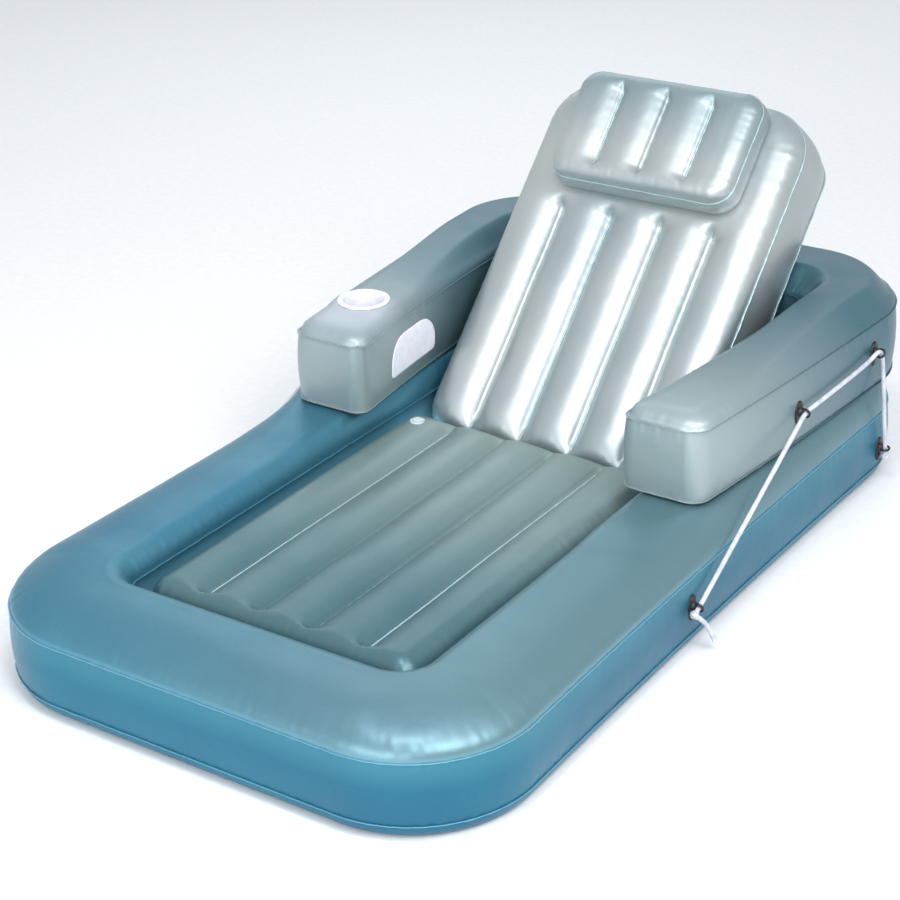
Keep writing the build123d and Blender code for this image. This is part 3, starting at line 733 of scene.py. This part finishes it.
def line_lengths(points):
    """Distance along an open line to each of its points."""
    return np.concatenate([[0], np.cumsum(np.linalg.norm(np.diff(points, axis=0), axis=1))])


RING_HALF = 80.0                 # half the width of the flat strip that the ring is bent from
RAIL_OUT = rail(RING_OUT_X, RING_REAR, RING_OUT_CORNER)
RAIL_IN = rail(RING_IN_X, RING_BAR, RING_IN_CORNER)
RAIL_ALONG = line_lengths((RAIL_OUT + RAIL_IN) / 2)


def ring_xy(x, y):
    """From strip coordinates (x across, y along the ring) to the plan of the ring."""
    share = (x + RING_HALF) / (2 * RING_HALF)
    outer = np.stack([np.interp(y, RAIL_ALONG, RAIL_OUT[:, k]) for k in (0, 1)], axis=-1)
    inner = np.stack([np.interp(y, RAIL_ALONG, RAIL_IN[:, k]) for k in (0, 1)], axis=-1)
    width = np.linalg.norm(outer - inner, axis=-1)[..., None]
    pull = PULL / width
    return outer + (inner - outer) * (pull + share[..., None] * (1 - 2 * pull))


def build_ring():
    length = RAIL_ALONG[-1]
    panel = Panel(RING_HALF, length - 2 * PULL, 30.0, 30.0, 44.0)
    along = panel.y + PULL
    xy = ring_xy(panel.x, along)
    rear_rise = REAR_RISE * smooth(xy[..., 1], 230, 560) * smooth(panel.inward, 0.2, 1.0)
    top_z = RING_TOP_SEAM + (RING_TOP - RING_TOP_SEAM) * arch(panel.inward) + rear_rise
    low_z = RING_LOW_SEAM - (RING_LOW_SEAM - RING_BOTTOM - 0.4) * arch(np.clip(panel.edge / 7, 0, 1))
    cup_gap = np.hypot(xy[..., 0] - CUP_X, xy[..., 1] - CUP_Y)
    flat = 1 - smooth(cup_gap, CUP_RIM - 2, CUP_RIM + 22)
    ease = 1 - smooth(cup_gap, CUP_RIM, CUP_RIM + 60)
    waves = 1.1 * swell(xy[..., 0], xy[..., 1], 62) * smooth(panel.inward, 0.3, 1)
    top_z = top_z + (panel.puckers(61, 0.9) + waves) * (1 - ease)
    angle = np.arctan2(xy[..., 1] - CUP_Y, xy[..., 0] - CUP_X)
    top_z = mix(top_z, RING_TOP - 0.3, flat)
    folds = 0.5 * np.exp(-np.abs(cup_gap - CUP_RIM - 4) / 8) * ripple(angle * CUP_RIM, 63, 12.0)
    top_z = top_z + folds * (1 - smooth(cup_gap, 60, 90))
    top = np.concatenate([xy, top_z[..., None]], axis=-1)
    bottom = np.concatenate([xy, low_z[..., None]], axis=-1)
    piece, rim, out = chamber("arm_ring_cushion", top, bottom, 26, PULL, 64, RING, "float",
                              ["arm_ring_top_sheet", "arm_ring_side_band", "arm_ring_bottom_sheet"], as_is,
                              fold=0.8, turn=True)
    cut_cup_hole(piece)
    for level, grid, seed in (("top", top, 65), ("bottom", bottom, 66)):
        seam = grid.reshape(-1, 3)[rim]
        seam_weld("arm_ring_" + level + "_weld", seam, out, 3.0, RING, "float", seed)


def cut_cup_hole(piece):
    """Open the ring's top under the cup holder's rim, with a round edge."""
    work = bmesh.new()
    work.from_mesh(piece.data)
    centre = Vector((CUP_X * MM, CUP_Y * MM))
    limit = (CUP_RIM - 4) * MM
    inside = []
    for face in work.faces:
        if all(v.co.z > 0.34 and (v.co.xy - centre).length < limit for v in face.verts):
            inside.append(face)
    bmesh.ops.delete(work, geom=inside, context="FACES")
    for vert in work.verts:
        if vert.is_boundary:
            gap = vert.co.xy - centre
            gap = gap.normalized() * (CUP_BORE + 3) * MM
            vert.co.x, vert.co.y = centre.x + gap.x, centre.y + gap.y
    work.to_mesh(piece.data)
    work.free()


# ---- backrest and pillow ------------------------------------------------------------------
BACK_REACH, BACK_BULGE = 54.0, 9.0
BACK_START = 3                   # from the hinge to the seam at the backrest's foot
PILLOW_PULL = 3                  # like PULL, for the pillow


def back_surface(x, s, inward):
    """Height of the backrest's front over its own plane."""
    seam = -8 + 6 * np.exp(-s / 25)
    sink = grooves(x, s, BACK_X - PULL, BACK_TUBES, BACK_CREST, 4, GROOVE_END, 81, 1.2)
    return seam + (BACK_CREST - seam) * arch(inward) - sink * smooth(inward, 0.0, 0.9)


def build_back():
    half, length = BACK_X - PULL, BACK_LENGTH - PULL - BACK_START
    panel = Panel(half, length, 60.0, 104.0, BACK_REACH)
    s = panel.y + BACK_START
    z = back_surface(panel.x, s, panel.inward)
    z = z + panel.puckers(82, 1.0) + 0.9 * swell(panel.x, s, 83) * smooth(panel.inward, 0.5, 1)
    top = np.stack([panel.x, s, z], axis=-1)
    # the foot is cut at 45 degrees, so the back begins as far up as the backrest is deep
    s_back = BACK_DEPTH + (s - BACK_START) / length * (BACK_LENGTH - PULL - BACK_DEPTH)
    z_back = -130 - 7.6 * arch(np.clip(panel.edge / 40, 0, 1))
    bottom = np.stack([panel.x, s_back, z_back], axis=-1)
    nodes = ["backrest_front_sheet", "backrest_side_band", "backrest_back_sheet", "backrest_webs"]
    piece, rim, out = chamber("backrest_cushion", top, bottom, 30, BACK_BULGE, 84, PEARL, "backrest",
                              nodes, on_back, fold=0.8)
    for level, grid, seed in (("front", top, 85), ("back", bottom, 86)):
        seam = grid.reshape(-1, 3)[rim]
        seam_weld("backrest_" + level + "_weld", seam, out, 3.0, WELD_SILVER, "backrest",
                  seed, place=on_back)
    groove_welds("backrest_groove_weld", half, BACK_TUBES, 12, GROOVE_END - 10, panel, top, on_back,
                 "backrest")
    return panel, top


def build_pillow(back_panel, back_top):
    # its left edge stays where it would be without the shift, so it is wider by twice the shift
    half = PILLOW_X - PILLOW_PULL + PILLOW_SHIFT
    length = PILLOW_HIGH - PILLOW_LOW - 2 * PILLOW_PULL
    panel = Panel(half, length, 42.0, 42.0, 36.0, 3.6)
    s = panel.y + PILLOW_LOW + PILLOW_PULL
    sink = grooves(panel.x, panel.y, half, PILLOW_TUBES, 24.0, 20, length - 22, 91, 0.5)
    across = panel.x + PILLOW_SHIFT
    seam_z = 76.0
    z = seam_z + (PILLOW_CREST - seam_z) * arch(panel.inward) - sink * smooth(panel.inward, 0.0, 0.9)
    z = z + panel.puckers(92, 0.7)
    top = np.stack([across, s, z], axis=-1)
    ground = under_pillow(back_panel, back_top, across, s)
    bottom = np.stack([across, s, ground - 1.5], axis=-1)
    nodes = ["pillow_front_sheet", "pillow_side_band", "pillow_back_sheet", "pillow_webs"]
    piece, rim, out = chamber("pillow_cushion", top, bottom, 14, 5.0, 94, PEARL, "backrest",
                              nodes, on_back)
    seam = top.reshape(-1, 3)[rim]
    seam_weld("pillow_front_weld", seam, out, 2.8, WELD_SILVER, "backrest", 95, place=on_back)
    groove_welds("pillow_groove_weld", half, PILLOW_TUBES, 30, length - 34, panel, top, on_back,
                 "backrest")


def under_pillow(panel, top, x, s):
    """The backrest's surface under each point of the pillow."""
    rows = panel.y[:, 0] + BACK_START
    ground = np.zeros_like(x)
    for row in range(x.shape[0]):
        at = np.searchsorted(rows, s[row, 0])
        at = min(max(at, 1), len(rows) - 1)
        share = (s[row, 0] - rows[at - 1]) / (rows[at] - rows[at - 1])
        low = np.interp(x[row], panel.x[at - 1], top[at - 1, :, 2])
        high = np.interp(x[row], panel.x[at], top[at, :, 2])
        ground[row] = mix(low, high, share)
    return ground


def build_hinge():
    """The clear strip that joins the seat to the foot of the backrest."""
    half = BACK_X - 60.0
    rows = []
    for share in np.linspace(0, 1, 15):
        y = mix(SEAT_REAR - 6, HINGE_Y + 2.5, share)
        z = mix(SEAT_SEAM - 0.5, HINGE_Z - 1.0, share) - 7 * math.sin(math.pi * share)
        x = np.linspace(-half, half, 110)
        wave = 0.7 * ripple(x, 101, 18.0) * math.sin(math.pi * share)
        rows.append(np.stack([x, np.full_like(x, y), z + wave], axis=1))
    upper = np.stack(rows)
    points, faces = slab(upper, upper - [0, 0, HINGE_FILM])
    piece = new_piece("hinge_film", points, faces, CLEAR, ["hinge_strip"])
    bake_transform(piece)


# ---- cup holder and patch -----------------------------------------------------------------
def rounded_line(corners, radius, steps=5):
    """A polyline with each inner corner turned into a small curve."""
    points = [corners[0]]
    for before, corner, after in zip(corners, corners[1:], corners[2:]):
        before, corner, after = (np.array(p, float) for p in (before, corner, after))
        to_before = (before - corner) / np.linalg.norm(before - corner)
        to_after = (after - corner) / np.linalg.norm(after - corner)
        reach = min(radius, np.linalg.norm(before - corner) * 0.45, np.linalg.norm(after - corner) * 0.45)
        a, b = corner + to_before * reach, corner + to_after * reach
        for t in np.linspace(0, 1, steps):
            points.append(mix(mix(a, corner, t), mix(corner, b, t), t))
    points.append(corners[-1])
    return np.array(points, float)


def turned(profile, columns):
    """A solid turned about Z: profile is (radius, height), from the axis round to the axis again."""
    angle = np.linspace(0, 2 * math.pi, columns, endpoint=False)
    body = profile[1:-1]
    rings = np.stack([np.stack([r * np.cos(angle), r * np.sin(angle), np.full(columns, z)], axis=1)
                      for r, z in body])
    points = np.concatenate([rings.reshape(-1, 3), [[0, 0, profile[0][1]], [0, 0, profile[-1][1]]]])
    numbers = numbered(len(body), columns)
    faces = loop_faces(numbers)
    first, last = len(points) - 2, len(points) - 1
    for k in range(columns):
        after = (k + 1) % columns
        faces.append([first, int(numbers[0, after]), int(numbers[0, k])])
        faces.append([last, int(numbers[-1, k]), int(numbers[-1, after])])
    return points, faces


def build_cup_holder():
    """The liner, turned from its section: up the outside, over the rim and down the inside."""
    wall, floor, top = CUP_BORE + 2, CUP_FLOOR, RING_TOP
    outside = [(0, floor), (wall - 3, floor), (wall, floor + 5), (wall, top - 2)]
    rim = [(CUP_RIM - 0.3, top - 0.2), (CUP_RIM, top + 1.4), (CUP_RIM - 1.2, top + 2.7)]
    inside = [(CUP_BORE + 1.6, top + 2.9), (CUP_BORE, top + 1.2), (CUP_BORE, floor + 8),
              (CUP_BORE - 5, floor + 2.2), (0, floor + 2)]
    points, faces = turned(rounded_line(outside + rim + inside, 1.6), 128)
    angle = np.arctan2(points[:, 1], points[:, 0])
    lift = smooth(points[:, 2], top - 12, top + 2) * smooth(np.hypot(points[:, 0], points[:, 1]), 44, 50)
    points[:, 2] += 0.35 * lift * ripple(angle * CUP_RIM, 111, 22.0)
    points = points + [CUP_X, CUP_Y, 0]
    add_mesh("cup_holder_liner", points, faces, WHITE, "float", ["cup_holder"])


PATCH_LOW_CORNER, PATCH_TOP_CORNER = 10.0, 52.0


def corner_inset(distance, corner):
    """How far a rounded corner cuts in, at a distance from the edge it rounds off."""
    return corner * (1 - math.sqrt(max(0.0, 1 - (1 - min(distance / corner, 1)) ** 2)))


def build_patch():
    """The blank white patch on the inner wall of the left arm, following the wall."""
    y_low, y_high, z_low, z_high = 120.0, 288.0, 228.0, 304.0
    count_y, count_z = 60, 34
    u = np.linspace(-1, 1, count_y)
    w = np.linspace(0, 1, count_z)
    grid_y, grid_z = [], []
    for level in w:
        z = mix(z_low, z_high, level)
        cut = max(corner_inset(z - z_low, PATCH_LOW_CORNER), corner_inset(z_high - z, PATCH_TOP_CORNER))
        half = (y_high - y_low) / 2 - cut
        grid_y.append((y_low + y_high) / 2 + u * half)
        grid_z.append(np.full(count_y, z))
    grid_y, grid_z = np.array(grid_y), np.array(grid_z)
    t = (RING_TOP_SEAM - grid_z) / (RING_TOP_SEAM - RING_LOW_SEAM)
    wall = -arc_x(RING_IN_X, grid_y) - PULL * (2 * t - 1) ** 2
    edge = np.minimum.outer(np.minimum(w, 1 - w) * (z_high - z_low), np.minimum(u + 1, 1 - u) * 60)
    raised = 1.2 - 0.5 * np.exp(-edge / 1.2)
    upper = np.stack([wall + raised, grid_y, grid_z], axis=-1)
    lower = np.stack([wall - 0.6, grid_y, grid_z], axis=-1)
    points, faces = slab(upper, lower)
    add_mesh("arm_blank_patch", points, faces, PATCH, "float", ["arm_patch"])


# ---- rope ---------------------------------------------------------------------------------
ROPE_RADIUS, ROPE_STEP, STRANDS = 4.0, 1.1, 8
# the right-hand rope's route, from its free tail, through the four eyelets, to its knot at the head
ROPE_ROUTE = [(513.5, -91.7, 17.6), (508.5, -95.0, 34.0), (502.5, -102.5, 53.0), (496.0, -118.0, 72.0),
              (493.0, -128.5, 80.5), (492.8, -114.0, 88.0), (490.6, -69.6, 106.1), (473.7, 273.3, 246.4),
              (471.3, 314.0, 264.4), (475.0, 357.8, 265.6), (488.5, 540.2, 276.2), (491.6, 576.0, 287.0),
              (492.6, 591.0, 279.5), (493.2, 599.5, 260.0), (498.6, 616.5, 118.0), (500.3, 622.0, 73.0),
              (501.0, 624.1, 54.0)]
# each knot: its name, its centre and the direction that the rope runs through it
KNOTS = (("foot", (493.5, -129.7, 81.6), (0, 0.93, 0.37)),
         ("head", (501.0, 624.1, 56.2), (0, 0.15, -0.99)))


def spline_points(route, order=3, resolution=24):
    """Points along the smooth NURBS line of a route, in millimetres."""
    curve = bpy.data.curves.new("route", "CURVE")
    curve.dimensions = "3D"
    curve.resolution_u = resolution
    spline = curve.splines.new("NURBS")
    spline.points.add(len(route) - 1)
    for point, co in zip(spline.points, route):
        point.co = (*[c * MM for c in co], 1.0)
    spline.order_u = order
    spline.use_endpoint_u = True
    holder = bpy.data.objects.new("route", curve)
    bpy.context.scene.collection.objects.link(holder)
    mesh = bpy.data.meshes.new_from_object(holder)
    points = np.array([v.co for v in mesh.vertices], float) / MM
    bpy.data.objects.remove(holder)
    bpy.data.curves.remove(curve)
    bpy.data.meshes.remove(mesh)
    return points


def even(points, step):
    """The same line with points at equal steps."""
    along = line_lengths(points)
    keep = np.concatenate([[True], np.diff(along) > 1e-6])
    at = np.linspace(0, along[-1], int(along[-1] / step) + 1)
    return np.stack([np.interp(at, along[keep], points[keep, k]) for k in range(3)], axis=1)


def frames_along(points):
    """Two directions across a line, square to each other and turning as little as they can."""
    forward = np.gradient(points, axis=0)
    forward = forward / np.linalg.norm(forward, axis=1)[:, None]
    side = np.cross(forward[0], [0.3, 0.2, 1.0])
    sides = []
    for direction in forward:
        side = side - direction * np.dot(side, direction)
        side = side / np.linalg.norm(side)
        sides.append(side)
    sides = np.array(sides)
    return sides, np.cross(forward, sides)


def braided_tube(points, radius, columns=40, pitch=17.0):
    """A rope: a tube whose surface is a braid of strands that cross over and under one another."""
    points = even(points, ROPE_STEP)
    side, up = frames_along(points)
    along = np.arange(len(points)) * ROPE_STEP
    angle = np.linspace(0, 2 * math.pi, columns, endpoint=False)
    a, s = np.meshgrid(angle, along)
    turn = 2 * math.pi * s / pitch
    right = np.cos((a - turn) * STRANDS / 2)
    left = np.cos((a + turn) * STRANDS / 2)
    weave = np.maximum(np.abs(right), np.abs(left))
    r = radius * (0.955 + 0.075 * weave)
    end = np.minimum(along, along[-1] - along)
    r = r * (0.35 + 0.65 * np.sqrt(np.clip(end / 3.0, 0, 1)))[:, None]
    round_line = np.cos(a)[..., None] * side[:, None, :] + np.sin(a)[..., None] * up[:, None, :]
    rings = points[:, None, :] + r[..., None] * round_line
    return rings.reshape(-1, 3), tube_faces(len(points), columns)


def knot_points(centre, direction, turns, size):
    """Wraps of the rope round itself, as a stopper knot."""
    forward = np.array(direction, float) / np.linalg.norm(direction)
    side = np.cross(forward, [1.0, 0.3, 0.2])
    side = side / np.linalg.norm(side)
    up = np.cross(forward, side)
    t = np.linspace(0, 1, 90)
    angle = 2 * math.pi * turns * t
    reach = size * (0.62 + 0.38 * np.sin(math.pi * t))
    drift = (t - 0.5) * 8.5 + 1.6 * np.sin(angle + 0.7)
    points = np.array(centre) + forward * drift[:, None]
    return points + side * (reach * np.cos(angle))[:, None] + up * (reach * np.sin(angle))[:, None]


def build_rope(side_name, sign):
    path = spline_points(ROPE_ROUTE)
    name = "rope_" + side_name
    points, faces = mirrored(*braided_tube(path, ROPE_RADIUS), sign)
    rope = add_mesh(name + "_braid", points, faces, ROPE, "float", [name])
    knots = []
    for end, centre, direction in KNOTS:
        wraps = knot_points(centre, direction, 2.6, 5.6)
        points, faces = mirrored(*braided_tube(wraps, 3.0, 28, 14.0), sign)
        knots.append(add_mesh(name + "_knot_" + end, points, faces, ROPE, "float"))
    return rope, even(path, ROPE_STEP) * [sign, 1, 1], knots


def declare_rope(rope, route, knots):
    length = float(np.linalg.norm(np.diff(route, axis=0), axis=1).sum()) * MM
    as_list(knots)


# ---- eyelets ------------------------------------------------------------------------------
EYELETS = [("foot", 492.76, -114.0, 88.0, 22.0), ("arm_front", 471.73, 314.0, 263.0, 13.0),
           ("arm_rear", 492.10, 588.0, 279.0, -39.0), ("head", 500.32, 622.0, 72.0, -81.0)]
EYE_STAND = 12.5


def torus_points(centre, axis, ring, section, flat):
    """A ring of oval section about an axis."""
    axis = np.array(axis, float) / np.linalg.norm(axis)
    side = np.cross(axis, [1.0, 0.2, 0.1])
    side = side / np.linalg.norm(side)
    up = np.cross(axis, side)
    a, b = np.meshgrid(np.linspace(0, 2 * math.pi, 40, endpoint=False),
                       np.linspace(0, 2 * math.pi, 16, endpoint=False), indexing="ij")
    radial = side * np.cos(a)[..., None] + up * np.sin(a)[..., None]
    points = np.array(centre) + radial * (ring + section * np.cos(b))[..., None]
    points = points + axis * (flat * np.sin(b))[..., None]
    return points.reshape(-1, 3), loop_faces(closed_round(numbered(*a.shape)))


def tab_points(x):
    """A low dome with a teardrop outline, welded to a wall that faces +X; y and z about its eye."""
    angle = np.linspace(0, 2 * math.pi, 64, endpoint=False)
    pointed = 1 + 0.34 * np.clip(-np.sin(angle), 0, 1) ** 3
    y, z = 14.0 * np.cos(angle), 21.0 * np.sin(angle) * pointed
    rings = []
    for scale, height in ((1.0, -2.5), (1.0, 0.6), (0.96, 1.6), (0.88, 2.2), (0.6, 2.9), (0.3, 3.3)):
        rings.append(np.stack([np.full(64, x + height), y * scale, z * scale], axis=1))
    return np.concatenate(rings), tube_faces(len(rings), 64)


def remesh(name, parts, voxel, rounds):
    """One moulded skin over several overlapping closed shapes."""
    points, faces, start = [], [], 0
    for part_points, part_faces in parts:
        points.append(part_points)
        faces += [[i + start for i in face] for face in part_faces]
        start += len(part_points)
    mesh = bpy.data.meshes.new(name)
    mesh.from_pydata((np.concatenate(points) * MM).tolist(), [], faces)
    mesh.update()
    holder = bpy.data.objects.new(name, mesh)
    bpy.context.scene.collection.objects.link(holder)
    modifier = holder.modifiers.new("skin", "REMESH")
    modifier.mode = "VOXEL"
    modifier.voxel_size = voxel * MM
    soften = holder.modifiers.new("soften", "SMOOTH")
    soften.factor = 0.5
    soften.iterations = rounds
    bpy.context.view_layer.update()
    result = bpy.data.meshes.new_from_object(holder.evaluated_get(bpy.context.evaluated_depsgraph_get()))
    bpy.data.objects.remove(holder)
    points = np.array([v.co for v in result.vertices], float) / MM
    faces = [list(p.vertices) for p in result.polygons]
    bpy.data.meshes.remove(result)
    return points, faces


def build_eyelets():
    for name, x, y, z, tilt in EYELETS:
        wall = x - EYE_STAND
        angle = math.radians(tilt)
        axis = (0, math.cos(angle), math.sin(angle))
        ring = torus_points((EYE_STAND, 0, 0), axis, 8.0, 2.1, 2.6)
        neck = [torus_points((EYE_STAND - 6.5, 0, 0), (1, 0, 0), 4.0, 3.6, 3.4),
                torus_points((EYE_STAND - 8.5, 0, 0), (1, 0, 0), 5.0, 4.2, 3.0)]
        points, faces = remesh("eyelet", [tab_points(0), ring] + neck, 0.7, 4)
        for side_name, sign in (("right", 1), ("left", -1)):
            node = "eyelet_" + side_name + "_" + name
            placed, turned_faces = mirrored(points + [wall, y, z], faces, sign)
            add_mesh(node + "_moulding", placed, turned_faces, BLACK, "float", [node])


# ---- CAD pieces that stay, with their materials ---------------------------------------------
def finish_valves():
    for name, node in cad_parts.items():
        if "valve" in name:
            node.data.materials.clear()
            node.data.materials.append(VALVE)


# ---- floor, light and camera ----------------------------------------------------------------
def build_stage():
    size = 60.0
    corners = [(-size, -size, 0), (size, -size, 0), (size, size, 0), (-size, size, 0)]
    mesh = bpy.data.meshes.new("studio_floor")
    mesh.from_pydata(corners, [], [(0, 1, 2, 3)])
    floor = bpy.data.objects.new("studio_floor", mesh)
    material = plain("pale_floor", (238, 239, 240), 0.8, 30, 0.0002, (234, 235, 236))
    mesh.materials.append(material)
    bpy.context.scene.collection.objects.link(floor)


def area_light(name, place, target, size, power, colour=(1, 1, 1), size_y=None):
    light = bpy.data.lights.new(name, "AREA")
    light.shape = "RECTANGLE"
    light.size = size
    light.size_y = size_y or size
    light.energy = power
    light.color = colour
    lamp = bpy.data.objects.new(name, light)
    lamp.location = place
    lamp.rotation_euler = (Vector(target) - Vector(place)).to_track_quat("-Z", "Y").to_euler()
    bpy.context.scene.collection.objects.link(lamp)


def build_lights():
    area_light("key_softbox", (2.1, -1.15, 2.5), (0.1, -0.1, 0.3), 2.1, 70, (1.0, 0.98, 1.0), 1.5)
    area_light("corner_softbox", (0.5, -1.1, 3.0), (0.4, -0.9, 0.2), 0.8, 24, (1.0, 0.95, 1.0))
    area_light("front_fill", (0.5, -3.8, 1.4), (0, -0.2, 0.2), 2.6, 70, (0.97, 0.99, 1.0), 1.6)
    area_light("rear_fill", (-1.8, 2.6, 2.4), (0, 0.3, 0.3), 2.4, 14, (0.92, 0.97, 1.0))
    world = bpy.data.worlds.new("studio")
    world.use_nodes = True
    background = world.node_tree.nodes["Background"]
    background.inputs["Color"].default_value = (0.93, 0.97, 1.0, 1)
    background.inputs["Strength"].default_value = 0.8
    bpy.context.scene.world = world


# the photograph's viewing angle: a camera in front of the float, to its right and above it
CAMERA_PLACE = (1.9066, -2.8925, 1.9054)
YAW, PITCH, ROLL = 34.37, 26.14, -1.48
FOCAL_LENGTH, PICTURE_WIDTH = 2178.8, 900        # in picture elements
SENSOR_WIDTH = 36.0


def build_camera():
    yaw, pitch, roll = math.radians(YAW), math.radians(PITCH), math.radians(ROLL)
    right = Vector((math.cos(yaw), math.sin(yaw), 0))
    back = Vector((math.sin(yaw) * math.cos(pitch), -math.cos(yaw) * math.cos(pitch), math.sin(pitch)))
    up = back.cross(right)
    turned_right = right * math.cos(roll) + up * math.sin(roll)
    turned_up = up * math.cos(roll) - right * math.sin(roll)
    data = bpy.data.cameras.new("camera")
    data.sensor_width = SENSOR_WIDTH
    data.lens = SENSOR_WIDTH * FOCAL_LENGTH / PICTURE_WIDTH
    camera = bpy.data.objects.new("camera", data)
    axes = Matrix((turned_right, turned_up, back)).transposed().to_4x4()
    camera.matrix_world = Matrix.Translation(CAMERA_PLACE) @ axes
    bpy.context.scene.collection.objects.link(camera)
    bpy.context.scene.camera = camera


build_camera()
build_stage()
build_lights()
bpy.context.scene.view_settings.view_transform = "Standard"

build_base()
build_seat()
build_ring()
back_panel, back_top = build_back()
build_pillow(back_panel, back_top)
build_hinge()
build_cup_holder()
build_patch()
for side_name, sign in (("right", 1), ("left", -1)):
    rope, route, knots = build_rope(side_name, sign)
    declare_rope(rope, route, knots)
build_eyelets()
finish_valves()
